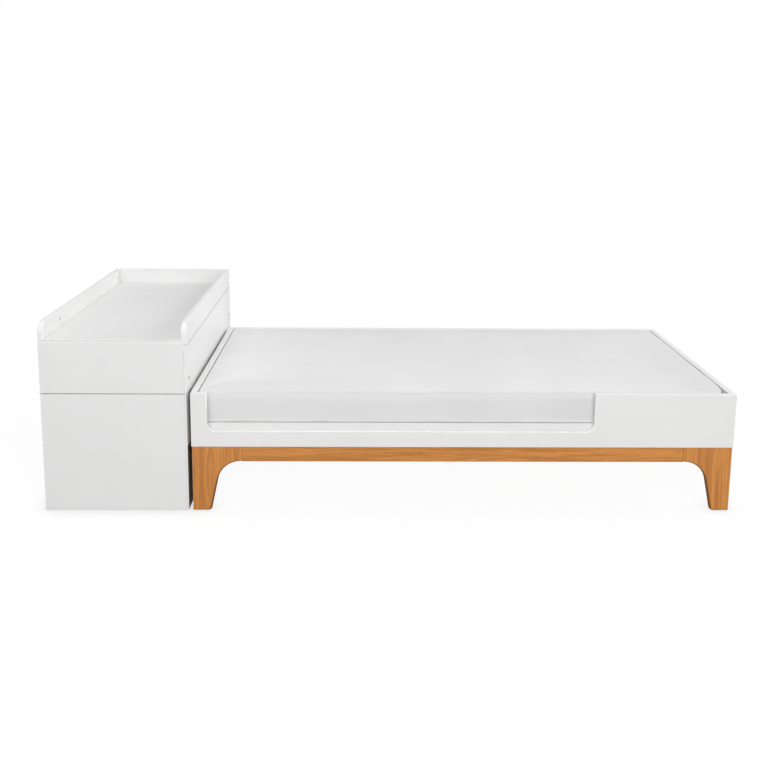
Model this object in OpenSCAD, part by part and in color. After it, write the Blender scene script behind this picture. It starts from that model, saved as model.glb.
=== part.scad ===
// Convertible crib in its low-bed form, with the changer chest against its left end.
// X runs along the bed to the right, Y from front to back, Z up; the floor is z = 0.

/* [Bed box] */
// Outer length of the white box frame
bed_l = 1970; // [1600:10:2200]
// Depth of the bed from its front face to its back face
bed_d = 960; // [800:10:1070]
// Height of the rails' top edge above the floor
bed_top = 445; // [435:1:460]
// Height of the white boards
board_h = 200; // [180:5:210]
// Thickness of the white boards
board_t = 22; // [18:1:28]

/* [Front rail cut-out] */
// Distance from the rail's left end to the cut-out
cut_start = 58; // [40:1:150]
// Length of the cut-out
cut_l = 1400; // [600:10:1500]
// Height of rail left under the cut-out
cut_sill = 60; // [50:1:70]
// Radius of the cut-out's lower corners
cut_r = 30; // [10:1:60]

/* [Leg frame] */
// Height of the wooden aprons under the white boards
apron_h = 56; // [40:1:80]
// Width of a leg board where it meets the apron
leg_w = 180; // [176:2:240]
// Width of a leg board at the floor
foot_w = 66; // [50:1:70]
// Slope of the leg's inner edge from upright, in degrees
leg_slope = 12; // [4:1:12]
// Radius of the arch between leg and apron
arch_r = 86; // [40:2:90]
// Radius of the foot's inner lower corner
foot_r = 8; // [2:1:12]
// Setback of the wood behind the white boards
wood_inset = 2; // [1:0.5:4]
// Thickness of a bed foot glide
glide_t = 3; // [2:0.5:5]
// Diameter of a foot glide
glide_d = 15; // [10:1:16]

/* [Slat base] */
// Depth of the mattress seat below the rails' top edge
seat_drop = 116; // [100:2:130]
// Height of a slat ledger
ledger_h = 50; // [44:1:54]
// Thickness of the ledger's upright part behind the rail
ledger_web = 22; // [16:1:30]
// Depth of the shelf that carries the slat ends
ledger_shelf = 18; // [14:1:30]
// Number of slats
slat_n = 15; // [10:1:18]
// Width of a slat
slat_w = 70; // [50:1:80]
// Thickness of a slat
slat_t = 18; // [12:1:20]
// Width of the centre beam and of its leg
beam_w = 45; // [35:1:60]
// Height of the centre beam
beam_h = 40; // [30:1:46]
// Side of a square corner post
post_w = 45; // [40:1:60]

/* [Mattress] */
// Gap between the mattress and each end panel
mattress_end_gap = 7; // [6:1:30]
// Gap between the mattress and each long rail
mattress_side_gap = 5; // [4:1:20]
// How far the mattress edge stands above the rails
mattress_rise = 0; // [-10:1:20]
// Height of the crown above the mattress edge
mattress_crown = 10; // [2:1:16]
// How far the sides pull in between the corners
mattress_draw = 2; // [0:1:8]
// Corner radius seen from above
mattress_corner_r = 30; // [20:1:80]

/* [Chest] */
// Width of the chest
chest_w = 525; // [420:1:640]
// Depth of the chest, whose front is in line with the bed's front
chest_d = 1070; // [960:10:1200]
// Gap between chest and bed
chest_gap = 13; // [12:1:30]
// Thickness of the chest's boards and fronts
panel_t = 18; // [16:1:20]
// Height of the tray floor's upper face above the floor
deck_z = 636; // [632:2:720]
// Thickness of the tray floor
deck_t = 22; // [18:1:26]
// Height of the gap between drawer front and door
split_z = 442; // [428:2:446]
// Gap between drawer front and door
front_gap = 3; // [3:0.5:5]
// Play between the fronts and the carcass
front_play = 2.5; // [2:0.5:4]
// How much of the side panels shows beside the fronts
front_reveal = 7; // [0:0.5:7]
// Clearance under the chest's side panels
chest_foot = 5; // [4:1:15]
// Height of the chest's bottom panel above the floor
bottom_z = 25; // [18:1:60]
// Thickness of the back panel
back_t = 5; // [3:1:8]
// Distance of the back panel's outer face from the chest's back
back_inset = 9; // [6:1:20]
// Height of the shelf above the floor
shelf_z = 235; // [180:5:245]
// Depth of a stretcher under the tray
stretcher_d = 80; // [60:5:120]

/* [Changing tray] */
// Height of the tray walls above the tray floor
tray_h = 61; // [50:1:120]
// Radius of the side walls' front upper corners
tray_r = 40; // [10:1:45]
// Distance from the chest's front to the first hole in a tray wall
tray_hole_front = 213; // [120:1:260]
// Distance from the chest's back to the second hole
tray_hole_back = 57; // [30:1:300]
// Height of the tray wall holes above the tray floor
tray_hole_z = 28; // [20:1:45]
// Diameter of the tray wall holes
tray_hole_d = 8; // [4:0.5:10]

/* [Crib side holes] */
// Distance of the holes in the chest's right side from the panel's front and back edges
side_hole_inset = 37; // [20:1:80]
// Height of these holes above the floor
side_hole_z = 485; // [460:1:560]
// Diameter of these holes
side_hole_d = 12; // [5:0.5:12]

/* [Drawer] */
// Length of the drawer box behind its front
drawer_l = 620; // [600:10:800]
// Height of the drawer box
drawer_h = 115; // [90:5:115]
// Clearance between divider and drawer box
drawer_lift = 10; // [6:1:14]
// Thickness of the drawer box boards
drawer_t = 16; // [12:1:18]
// Thickness of the drawer bottom
drawer_base_t = 5; // [3:1:8]
// Width of a telescopic runner, from the side panel to the drawer box
runner_w = 12.7; // [12:0.1:14]
// Height of a runner
runner_h = 45; // [40:1:60]
// Length of a runner
runner_l = 600; // [400:10:600]

/* [Door and latches] */
// Distance of the hinge pin from the door's left edge
pivot_inset = 6; // [5.5:0.1:6.5]
// Diameter of a hinge pin
pivot_d = 5; // [4:0.1:5]
// Length of a push latch housing
latch_l = 70; // [50:1:90]
// Travel of a push latch plunger
latch_travel = 2.5; // [1:0.5:4]

/* [Hidden] */
$fn = 48;
play = 0.3; // running gap between pieces that only stand beside each other
hole_play = 0.1; // radial gap of a screw or pin in its hole
groove_play = 0.2; // gap on each side of a panel in its groove

// Main lines
total_l = chest_w + chest_gap + bed_l;
chest_x0 = -total_l / 2;
chest_x1 = chest_x0 + chest_w;
chest_cx = (chest_x0 + chest_x1) / 2;
bed_x0 = chest_x1 + chest_gap;
bed_x1 = bed_x0 + bed_l;
bed_cx = (bed_x0 + bed_x1) / 2;
front_y = -bed_d / 2;
back_y = bed_d / 2;
chest_back_y = front_y + chest_d;
middle_y = (bed_d - chest_d) / 2;

// Bed heights
box_z = bed_top - board_h;
apron_z = box_z - apron_h;
seat_z = bed_top - seat_drop;
slat_z = seat_z - slat_t;
ledger_z = seat_z - ledger_h;
beam_z = slat_z - beam_h;
wood_t = board_t - wood_inset;

// Screws of the bed frame
screw_d = 6;
screw_head_d = 12;
screw_head_h = 3.5;
screw_bite = 16;
small_screw_d = 4;
small_head_d = 8;
small_head_h = 2;
post_low_z = apron_z + 6;
post_top_z = seat_z - 1;
rail_screw_z = [apron_z + 16, box_z + 45]; // screws into the long boards
end_screw_z = [apron_z + 34, box_z + 16]; // screws into the end boards, clear of the ledgers
ledger_screw_z = ledger_z + 10;
ledger_screw_n = 5;
plate_t = 2.5;
plate_w = 40;
plate_h = 60;
plate_screw_dz = 18;
plate_screw_bite = 14;
plate_step = 500;
plate_end_y = 150;

// Beam hanger
hanger_t = 2;
hanger_d = 30;
hanger_wing = 18;
hanger_h = beam_h - 6;

// Links between chest and bed
link_d = 8;
link_head_d = 16;
link_head_h = 5;
link_spacer_d = 24;
link_nut_d = 18;
link_nut_h = 2.5;
link_y = 330;
link_z = [box_z + 28, bed_top - 36];

// Chest lines
carcass_y = front_y + panel_t + front_play;
side_top = deck_z - deck_t;
inner_x0 = chest_x0 + panel_t;
inner_x1 = chest_x1 - panel_t;
divider_z = split_z - panel_t / 2;
stretcher_z = side_top - panel_t;
back_face = chest_back_y - back_inset;
panel_back = back_face - back_t;
groove_d = 8;
glide_inset = 60;
shelf_side_gap = 0.5;
shelf_front = carcass_y + 20;
shelf_depth = panel_back - shelf_front - 20;
pin_d = 5;
pin_out = 8;
pin_in = 8;
pin_step = 32;
pin_rows = 5;
pin_inset = 60;

// Cam joints
cam_d = 15;
cam_h = 12.5;
cam_inset = 24;
cam_pin_d = 7;
cam_bite = 11;
cam_y = 60; // from each end of a full-depth panel

// Tray
tray_top = deck_z + tray_h;
tray_screw_bite = 14;
tray_screw_x = 150;

// Fronts
front_x0 = chest_x0 + front_reveal;
front_x1 = chest_x1 - front_reveal;
door_z0 = chest_foot + 1;
door_z1 = split_z - front_gap / 2;
drawer_front_z = split_z + front_gap / 2;
fronts_back = front_y + panel_t;
front_drop = 5; // the drawer front's top edge stands this much below the tray floor

// Drawer box
box_x0 = inner_x0 + runner_w;
box_x1 = inner_x1 - runner_w;
drawer_z = divider_z + panel_t + drawer_lift;
drawer_end = fronts_back + drawer_l;
base_lift = 8;
base_bite = 7;
runner_z = drawer_z + drawer_h / 2 - runner_h / 2;
runner_y = fronts_back + 7;
runner_skin = 1.5;
runner_lip = 1.6; // how far the flanges stop short of the drawer box

// Door hinge
pivot_x = front_x0 + pivot_inset;
pivot_y = front_y + panel_t / 2;
leaf_t = 2;
leaf_w = 14;
leaf_nose = 5;
flange_t = 1.5;
flange_h = 35;
bush_d = 8;
bush_l = 12.5;
pivot_l = 12;
pivot_play = 0.05;
leaf_screw_d = 3.4;
leaf_head_d = 6;
leaf_head_h = 0.9;
leaf_screw_l = 20;
leaf_screw_dz = [12, 26];

// Push latches
latch_w = 16;
latch_h = 14;
plunger_d = 8;
plunger_l = latch_l - 9.5 - latch_travel;
latch_y = carcass_y + 2;
door_latch_inset = 60;

white = "whitesmoke";
oak = "peru";
raw_wood = "burlywood";
steel = "silver";
zinc = "lightslategray";
plastic = "gainsboro";
cloth = "white";

// ---- Shared shapes ----

// A board between two opposite corners
module board(low, high) {
    translate(low) cube(high - low);
}

// A cylinder from one point along an axis: "x", "y" or "z", with a signed length
module rod(from, axis, length, d) {
    turn = axis == "x" ? [0, 90, 0] : axis == "y" ? [-90, 0, 0] : [0, 0, 0];
    translate(from) rotate(turn)
        translate([0, 0, min(0, length)]) cylinder(d = d, h = abs(length));
}

// A screw whose head sits on the face at "from"; the shank runs along the axis
module screw(from, axis, length, d, head_d, head_h) {
    rod(from, axis, length, d);
    rod(from, axis, -sign(length) * head_h, head_d);
}

// Draws its children at a corner of the bed, from the front left corner's own axes
module at_corner(right, back) {
    translate([bed_cx, 0, 0])
        mirror([right, 0, 0])
            mirror([0, back, 0])
                translate([-bed_l / 2, -bed_d / 2, 0])
                    children();
}

// Draws its children at all four corners of the bed
module at_corners() {
    for (right = [0, 1], back = [0, 1]) at_corner(right, back) children();
}

// Draws its children at the front, and again at the back as a mirror image
module front_and_back() {
    children();
    mirror([0, 1, 0]) children();
}

// Draws its children at the chest's left side, and again at its right side
module both_chest_sides() {
    translate([chest_x0, 0, 0]) children();
    translate([chest_x1, 0, 0]) mirror([1, 0, 0]) children();
}

// Everything is drawn round the bed's own middle line; this centres the whole footprint
module centred() {
    translate([0, middle_y, 0]) children();
}

// ---- White box of the bed ----

// Outline of the front rail's cut-out, from the rail's lower left corner
module cut_outline() {
    above = board_h - cut_sill + 1;
    translate([cut_start, cut_sill]) {
        translate([cut_r, 0]) square([cut_l - 2 * cut_r, cut_r + 1]);
        translate([0, cut_r]) square([cut_l, above - cut_r]);
        translate([cut_r, cut_r]) circle(r = cut_r);
        translate([cut_l - cut_r, cut_r]) circle(r = cut_r);
    }
}

// Screws of one corner, into the long rail and the end panel
module corner_screws(grow = 0) {
    middle = board_t + post_w / 2;
    far = board_t + post_w;
    long = -(post_w + screw_bite + grow);
    for (z = rail_screw_z)
        screw([middle, far, z], "y", long, screw_d + 2 * grow, screw_head_d, screw_head_h);
    for (z = end_screw_z)
        screw([far, middle, z], "x", long, screw_d + 2 * grow, screw_head_d, screw_head_h);
}

function ledger_screw_x(i) = bed_x0 + bed_l * (i + 0.5) / ledger_screw_n;

// Screws of one ledger, into the front rail
module ledger_screws(grow = 0) {
    y = front_y + board_t + ledger_web + ledger_shelf;
    for (i = [0 : ledger_screw_n - 1])
        screw([ledger_screw_x(i), y, ledger_screw_z], "y",
            -(ledger_web + ledger_shelf + screw_bite + grow),
            screw_d + 2 * grow, screw_head_d, screw_head_h);
}

// Where the joining plates stand: [along, seen from an end panel or not]
plate_x = [bed_cx - plate_step, bed_cx, bed_cx + plate_step];
plate_y = [-plate_end_y, plate_end_y];

// Screws of one plate in its own axes: the plate lies at y = 0 to plate_t
module plate_screw_pair(grow = 0) {
    for (side = [-1, 1])
        screw([0, plate_t, box_z + side * plate_screw_dz], "y",
            -(plate_t + plate_screw_bite + grow), small_screw_d + 2 * grow,
            small_head_d, small_head_h);
}

// Draws its children at each joining plate
module at_plates() {
    front_and_back()
        for (x = plate_x) translate([x, front_y + board_t, 0]) children();
    for (y = plate_y) {
        translate([bed_x0 + board_t, y, 0]) rotate([0, 0, -90]) children();
        translate([bed_x1 - board_t, y, 0]) rotate([0, 0, 90]) children();
    }
}

module front_rail() {
    color(white) difference() {
        board([bed_x0, front_y, box_z], [bed_x1, front_y + board_t, bed_top]);
        translate([bed_x0, front_y + board_t + 1, box_z]) rotate([90, 0, 0])
            linear_extrude(board_t + 2) cut_outline();
        at_corners() corner_screws(hole_play);
        ledger_screws(hole_play);
        at_plates() plate_screw_pair(hole_play);
    }
}

module back_rail() {
    color(white) difference() {
        board([bed_x0, back_y - board_t, box_z], [bed_x1, back_y, bed_top]);
        at_corners() corner_screws(hole_play);
        front_and_back() ledger_screws(hole_play);
        at_plates() plate_screw_pair(hole_play);
    }
}

module left_end_panel() {
    color(white) difference() {
        board([bed_x0, front_y + board_t, box_z], [bed_x0 + board_t, back_y - board_t, bed_top]);
        at_corners() corner_screws(hole_play);
        at_plates() plate_screw_pair(hole_play);
        at_links() rod([bed_x0 - 1, 0, 0], "x", board_t + 2, link_d + 2 * hole_play);
        at_hangers() hanger_screws(hole_play);
    }
}

module right_end_panel() {
    color(white) difference() {
        board([bed_x1 - board_t, front_y + board_t, box_z], [bed_x1, back_y - board_t, bed_top]);
        at_corners() corner_screws(hole_play);
        at_plates() plate_screw_pair(hole_play);
        at_hangers() hanger_screws(hole_play);
    }
}

// ---- Oak leg frame ----

knee = foot_w + (apron_z - glide_t) * tan(leg_slope);
arch_turn = 90 + leg_slope;
arch_reach = arch_r / tan(arch_turn / 2);

// Outline of a leg board: outer edge on the left, apron level at the top
module leg_outline() {
    rise = apron_z - glide_t;
    slope_x = foot_w + (rise - arch_reach * cos(leg_slope)) * tan(leg_slope);
    slope_z = apron_z - arch_reach * cos(leg_slope);
    foot_reach = foot_r / tan(arch_turn / 2);
    foot_side = foot_w + foot_reach * sin(leg_slope) + foot_r * cos(leg_slope);
    foot_top = glide_t + foot_reach * cos(leg_slope) - foot_r * sin(leg_slope);
    difference() {
        union() {
            polygon([[0, glide_t], [foot_w, glide_t], [knee, apron_z], [0, apron_z]]);
            translate([0, apron_z]) square([leg_w, apron_h]);
            polygon([[slope_x, slope_z], [knee + arch_reach, apron_z],
                [knee + arch_reach, apron_z + 1], [slope_x - 1, apron_z + 1]]);
        }
        translate([knee + arch_reach, apron_z - arch_r]) circle(r = arch_r, $fn = 96);
        difference() {
            polygon([[foot_w - foot_reach, glide_t - 1], [foot_side, glide_t - 1],
                [foot_side, foot_top], [foot_w - foot_reach, glide_t + foot_r]]);
            translate([foot_w - foot_reach, glide_t + foot_r]) circle(r = foot_r);
        }
    }
}

// One leg in the front left corner's axes: a front board and an end board behind it
module leg() {
    color(oak) difference() {
        union() {
            translate([wood_inset, wood_inset + wood_t, 0]) rotate([90, 0, 0])
                linear_extrude(wood_t) leg_outline();
            translate([wood_inset, wood_inset, 0]) rotate([90, 0, 90])
                linear_extrude(wood_t) leg_outline();
        }
        corner_screws(hole_play);
    }
}

module front_left_leg() { at_corner(0, 0) leg(); }
module front_right_leg() { at_corner(1, 0) leg(); }
module back_left_leg() { at_corner(0, 1) leg(); }
module back_right_leg() { at_corner(1, 1) leg(); }

module front_apron() {
    inset = wood_inset + leg_w;
    color(oak) difference() {
        board([bed_x0 + inset, front_y + wood_inset, apron_z],
            [bed_x1 - inset, front_y + board_t, box_z]);
        at_plates() plate_screw_pair(hole_play);
    }
}

module back_apron() { mirror([0, 1, 0]) front_apron(); }

module left_apron() {
    reach = bed_d / 2 - wood_inset - leg_w;
    color(oak) difference() {
        board([bed_x0 + wood_inset, -reach, apron_z], [bed_x0 + board_t, reach, box_z]);
        at_plates() plate_screw_pair(hole_play);
    }
}

module right_apron() {
    translate([2 * bed_cx, 0, 0]) mirror([1, 0, 0]) left_apron();
}

module corner_posts() {
    color(white) at_corners() difference() {
        board([board_t, board_t, post_low_z], [board_t + post_w, board_t + post_w, post_top_z]);
        corner_screws(hole_play);
    }
}

module frame_screws() {
    color(zinc) {
        at_corners() corner_screws();
        front_and_back() ledger_screws();
    }
}

module joining_plates() {
    color(steel) at_plates() difference() {
        board([-plate_w / 2, 0, box_z - plate_h / 2], [plate_w / 2, plate_t, box_z + plate_h / 2]);
        plate_screw_pair(hole_play);
    }
}

module plate_screws() {
    color(zinc) {
        at_plates() plate_screw_pair();
        at_hangers() hanger_screws();
    }
}

// ---- Slat base ----

module front_ledger() {
    end = board_t + post_w + play;
    y = front_y + board_t;
    color(white) difference() {
        union() {
            board([bed_x0 + end, y, ledger_z], [bed_x1 - end, y + ledger_web, seat_z]);
            board([bed_x0 + end, y, ledger_z],
                [bed_x1 - end, y + ledger_web + ledger_shelf, slat_z]);
        }
        ledger_screws(hole_play);
    }
}

module back_ledger() { mirror([0, 1, 0]) front_ledger(); }

slat_end = board_t + post_w + 10;
slat_pitch = (bed_l - 2 * slat_end - slat_w) / (slat_n - 1);

module slats() {
    reach = bed_d / 2 - board_t - ledger_web - 1;
    color(raw_wood) for (i = [0 : slat_n - 1])
        translate([bed_x0 + slat_end + i * slat_pitch, 0, 0])
            board([0, -reach, slat_z], [slat_w, reach, seat_z]);
}

module centre_beam() {
    end = board_t + hanger_t + play;
    color(raw_wood)
        board([bed_x0 + end, -beam_w / 2, beam_z], [bed_x1 - end, beam_w / 2, slat_z]);
}

module centre_leg() {
    color(raw_wood)
        board([bed_cx - beam_w / 2, -beam_w / 2, glide_t], [bed_cx + beam_w / 2, beam_w / 2, beam_z]);
}

// Draws its children at each end panel's inner face, x pointing into the bed
module at_hangers() {
    translate([bed_x0 + board_t, 0, 0]) children();
    translate([bed_x1 - board_t, 0, 0]) mirror([1, 0, 0]) children();
}

hanger_half = beam_w / 2 + play + hanger_t;

module hanger_screws(grow = 0) {
    for (side = [-1, 1])
        screw([hanger_t, side * (hanger_half + hanger_wing / 2), beam_z + hanger_h / 2], "x",
            -(hanger_t + plate_screw_bite + grow), small_screw_d + 2 * grow,
            small_head_d, small_head_h);
}

module beam_hangers() {
    color(steel) at_hangers() difference() {
        union() {
            board([0, -hanger_half - hanger_wing, beam_z - hanger_t],
                [hanger_t, hanger_half + hanger_wing, beam_z + hanger_h]);
            board([0, -hanger_half, beam_z - hanger_t], [hanger_d, hanger_half, beam_z + hanger_h]);
        }
        board([hanger_t, -hanger_half + hanger_t, beam_z],
            [hanger_d + 1, hanger_half - hanger_t, beam_z + hanger_h + 1]);
        hanger_screws(hole_play);
    }
}

module foot_glides() {
    at = wood_inset + wood_t / 2;
    out = wood_inset + foot_w - foot_r - glide_d / 2;
    color(plastic) {
        at_corners() {
            translate([out, at, 0]) cylinder(d = glide_d, h = glide_t);
            translate([at, out, 0]) cylinder(d = glide_d, h = glide_t);
        }
        translate([bed_cx, 0, 0]) cylinder(d = beam_w - 10, h = glide_t);
        both_chest_sides() for (y = [carcass_y + glide_inset, chest_back_y - glide_inset])
            translate([panel_t / 2, y, 0]) cylinder(d = glide_d, h = chest_foot);
    }
}

// ---- Mattress ----

mattress_x0 = bed_x0 + board_t + mattress_end_gap;
mattress_x1 = bed_x1 - board_t - mattress_end_gap;
mattress_half = bed_d / 2 - board_t - mattress_side_gap;
mattress_t = seat_drop + mattress_rise;
arc_n = 6;
long_n = 18;
short_n = 9;

// A point of one straight side, from a to b, pulled in towards the middle of the mattress
function side_points(a, b, n, inward, draw) = [
    for (i = [1 : n]) let (t = i / (n + 1), pull = draw * 4 * t * (1 - t))
        a + (b - a) * t + inward * pull
];

// The rounded outline at one level: inset from the full size, and how far the sides pull in
function outline(inset, draw) = let (
    x0 = mattress_x0 + inset,
    x1 = mattress_x1 - inset,
    y1 = mattress_half - inset,
    r = max(mattress_corner_r - inset / 2, 12),
    corners = [[x1 - r, y1 - r, 0], [x0 + r, y1 - r, 90], [x0 + r, r - y1, 180], [x1 - r, r - y1, 270]]
) [
    for (c = [0 : 3]) let (
        corner = corners[c],
        after = corners[(c + 1) % 4],
        last = corner[2] + 90,
        start = [corner[0] + r * cos(last), corner[1] + r * sin(last)],
        stop = [after[0] + r * cos(last), after[1] + r * sin(last)],
        inward = [-cos(last), -sin(last)]
    ) each concat(
        [for (k = [0 : arc_n]) let (a = corner[2] + 90 * k / arc_n)
            [corner[0] + r * cos(a), corner[1] + r * sin(a)]],
        side_points(start, stop, c % 2 == 0 ? long_n : short_n, inward, draw)
    )
];

ring_n = 4 * (arc_n + 1) + 2 * long_n + 2 * short_n;

// Levels of the mattress, from its underside to its crown: [inset, height, pull of the sides]
mattress_levels = [
    [9, 0, 0],
    [3, 3, 0.4],
    [0.5, 12, 0.7],
    [0, mattress_t * 0.5, 1],
    [0.5, mattress_t - 13, 0.7],
    [4, mattress_t - 4, 0.4],
    [12, mattress_t, 0.2],
    [60, mattress_t + mattress_crown * 0.45, 0],
    [130, mattress_t + mattress_crown * 0.75, 0],
    [240, mattress_t + mattress_crown * 0.95, 0],
    [350, mattress_t + mattress_crown, 0]
];

module mattress() {
    rings = [for (level = mattress_levels) outline(level[0], mattress_draw * level[2])];
    levels_n = len(mattress_levels);
    top_z = seat_z + mattress_t + mattress_crown;
    points = concat(
        [for (k = [0 : levels_n - 1], p = rings[k]) [p[0], p[1], seat_z + mattress_levels[k][1]]],
        [[bed_cx, 0, seat_z], [bed_cx, 0, top_z]]
    );
    low = levels_n * ring_n;
    faces = concat(
        [for (k = [0 : levels_n - 2], i = [0 : ring_n - 1])
            [k * ring_n + i, (k + 1) * ring_n + i, (k + 1) * ring_n + (i + 1) % ring_n]],
        [for (k = [0 : levels_n - 2], i = [0 : ring_n - 1])
            [k * ring_n + i, (k + 1) * ring_n + (i + 1) % ring_n, k * ring_n + (i + 1) % ring_n]],
        [for (i = [0 : ring_n - 1]) [low, i, (i + 1) % ring_n]],
        [for (i = [0 : ring_n - 1]) [low + 1, low - ring_n + (i + 1) % ring_n, low - ring_n + i]]
    );
    color(cloth) polyhedron(points, faces);
}

// ---- Chest carcass ----

// Draws its children at each link between chest and bed, on the X axis
module at_links() {
    for (y = [-link_y, link_y], z = link_z) translate([0, y, z]) children();
}

// Cam joints at one side: [y, middle height] of each
cam_sites = concat(
    [for (y = [carcass_y + cam_y, panel_back - cam_y], z = [bottom_z, divider_z])
        [y, z + panel_t / 2]],
    [for (y = [carcass_y + stretcher_d / 2, panel_back - stretcher_d / 2])
        [y, stretcher_z + panel_t / 2]]
);

// Pins of the cam joints, from the left side panel's outer face; their bores run on by "extra"
module side_cam_pins(grow = 0, extra = 0) {
    for (site = cam_sites)
        rod([panel_t - cam_bite - grow, site[0], site[1]], "x",
            cam_bite + grow + cam_inset - cam_d / 2 - play + extra, cam_pin_d + 2 * grow);
}

// Cam locks, turned up from the panels' undersides
module side_cam_locks(grow = 0) {
    for (site = cam_sites)
        rod([panel_t + cam_inset, site[0], site[1] - panel_t / 2 - 2 * grow], "z",
            cam_h + 3 * grow, cam_d + 2 * grow);
}

module cam_cuts() {
    both_chest_sides() {
        side_cam_pins(hole_play, cam_d / 2);
        side_cam_locks(hole_play);
    }
}

// Shelf pin sites at the left side: rows of holes round the shelf's own height
function pin_z(row) = shelf_z - pin_d / 2 + (row - (pin_rows - 1) / 2) * pin_step;
pin_y = [carcass_y + pin_inset, panel_back - pin_inset];

module side_pin_holes() {
    for (y = pin_y, row = [0 : pin_rows - 1])
        rod([panel_t - pin_in - 1, y, pin_z(row)], "x", pin_in + 2, pin_d + 2 * hole_play);
}

// A side panel with what both sides share, outer face at x = 0
module side_blank() {
    difference() {
        board([0, carcass_y, chest_foot], [panel_t, chest_back_y, side_top]);
        board([panel_t - groove_d, panel_back - groove_play, bottom_z - groove_play],
            [panel_t + 1, back_face + groove_play, side_top + 1]);
        side_cam_pins(hole_play);
        side_pin_holes();
    }
}

module chest_left_side() {
    color(white) difference() {
        translate([chest_x0, 0, 0]) side_blank();
        leaf_rebates();
        all_leaf_screws(hole_play);
    }
}

module chest_right_side() {
    color(white) difference() {
        translate([chest_x1, 0, 0]) mirror([1, 0, 0]) side_blank();
        at_links() rod([inner_x1 - 1, 0, 0], "x", panel_t + 2, link_d + 2 * hole_play);
        for (y = [carcass_y + side_hole_inset, chest_back_y - side_hole_inset])
            rod([chest_x1 - 12, y, side_hole_z], "x", 13, side_hole_d);
    }
}

module chest_bottom() {
    color(white) difference() {
        board([inner_x0, carcass_y, bottom_z], [inner_x1, panel_back, bottom_z + panel_t]);
        cam_cuts();
    }
}

module chest_divider() {
    color(white) difference() {
        board([inner_x0, carcass_y, divider_z], [inner_x1, panel_back, divider_z + panel_t]);
        cam_cuts();
    }
}

module stretchers() {
    color(white) difference() {
        union() {
            board([inner_x0, carcass_y, stretcher_z], [inner_x1, carcass_y + stretcher_d, side_top]);
            board([inner_x0, panel_back - stretcher_d, stretcher_z], [inner_x1, panel_back, side_top]);
        }
        cam_cuts();
        tray_screw_set(hole_play);
    }
}

module chest_back() {
    reach = groove_d - groove_play;
    color(white) board([inner_x0 - reach, panel_back, bottom_z], [inner_x1 + reach, back_face, side_top]);
}

module cam_locks() { color(zinc) both_chest_sides() side_cam_locks(); }
module cam_pins() { color(steel) both_chest_sides() side_cam_pins(); }

module shelf() {
    color(white) board([inner_x0 + shelf_side_gap, shelf_front, shelf_z],
        [inner_x1 - shelf_side_gap, shelf_front + shelf_depth, shelf_z + panel_t]);
}

module shelf_pins() {
    color(steel) both_chest_sides() for (y = pin_y)
        rod([panel_t - pin_in, y, shelf_z - pin_d / 2], "x", pin_in + pin_out, pin_d);
}

// ---- Links between chest and bed ----

module link_bolts() {
    span = panel_t + chest_gap + board_t;
    color(steel) at_links() difference() {
        union() {
            screw([inner_x1, 0, 0], "x", span + link_nut_h, link_d, link_head_d, link_head_h);
            rod([inner_x1 + span, 0, 0], "x", link_nut_h, link_nut_d);
        }
        rod([inner_x1 - link_head_h - 1, 0, 0], "x", 4, 6, $fn = 6);
    }
}

module link_spacers() {
    color(plastic) at_links() difference() {
        rod([chest_x1, 0, 0], "x", chest_gap, link_spacer_d);
        rod([chest_x1 - 1, 0, 0], "x", chest_gap + 2, link_d + 2 * hole_play);
    }
}

// ---- Changing tray ----

module tray_floor() {
    color(white) difference() {
        board([inner_x0, carcass_y, side_top], [inner_x1, chest_back_y - panel_t, deck_z]);
        tray_screw_set(hole_play);
    }
}

// The left wall from its outer face at x = 0: front upper corner rounded, two blind holes inside
module tray_wall() {
    difference() {
        union() {
            board([0, carcass_y, side_top], [panel_t, chest_back_y, tray_top - tray_r]);
            board([0, carcass_y + tray_r, side_top], [panel_t, chest_back_y, tray_top]);
            rod([0, carcass_y + tray_r, tray_top - tray_r], "x", panel_t, 2 * tray_r, $fn = 96);
        }
        for (y = [front_y + tray_hole_front, chest_back_y - tray_hole_back])
            rod([panel_t - 10, y, deck_z + tray_hole_z], "x", 11, tray_hole_d);
    }
}

module tray_left_wall() { color(white) translate([chest_x0, 0, 0]) tray_wall(); }
module tray_right_wall() {
    color(white) translate([chest_x1, 0, 0]) mirror([1, 0, 0]) tray_wall();
}
module tray_back_wall() {
    color(white)
        board([inner_x0, chest_back_y - panel_t, side_top], [inner_x1, chest_back_y, tray_top]);
}

// Screws from below, through the stretchers into the tray floor
module tray_screw_set(grow = 0) {
    for (x = [-tray_screw_x, tray_screw_x],
        y = [carcass_y + stretcher_d / 2, panel_back - stretcher_d / 2])
        screw([chest_cx + x, y, stretcher_z], "z", panel_t + tray_screw_bite + grow,
            small_screw_d + 2 * grow, small_head_d, small_head_h);
}

module tray_screws() { color(zinc) tray_screw_set(); }

// ---- Drawer ----

// The drawer bottom, or the groove that takes it
module drawer_base(grow = 0) {
    board([box_x0 + drawer_t - base_bite, fronts_back + drawer_t - base_bite,
            drawer_z + base_lift] - grow * [1, 1, 1],
        [box_x1 - drawer_t + base_bite, drawer_end - drawer_t + base_bite,
            drawer_z + base_lift + drawer_base_t] + grow * [1, 1, 1]);
}

module drawer_front() {
    color(white)
        board([front_x0, front_y, drawer_front_z], [front_x1, fronts_back, deck_z - front_drop]);
}

module drawer_inner_front() {
    color(white) difference() {
        board([box_x0 + drawer_t, fronts_back, drawer_z],
            [box_x1 - drawer_t, fronts_back + drawer_t, drawer_z + drawer_h]);
        drawer_base(groove_play);
    }
}

module drawer_back() {
    color(white) difference() {
        board([box_x0 + drawer_t, drawer_end - drawer_t, drawer_z],
            [box_x1 - drawer_t, drawer_end, drawer_z + drawer_h]);
        drawer_base(groove_play);
    }
}

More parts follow.
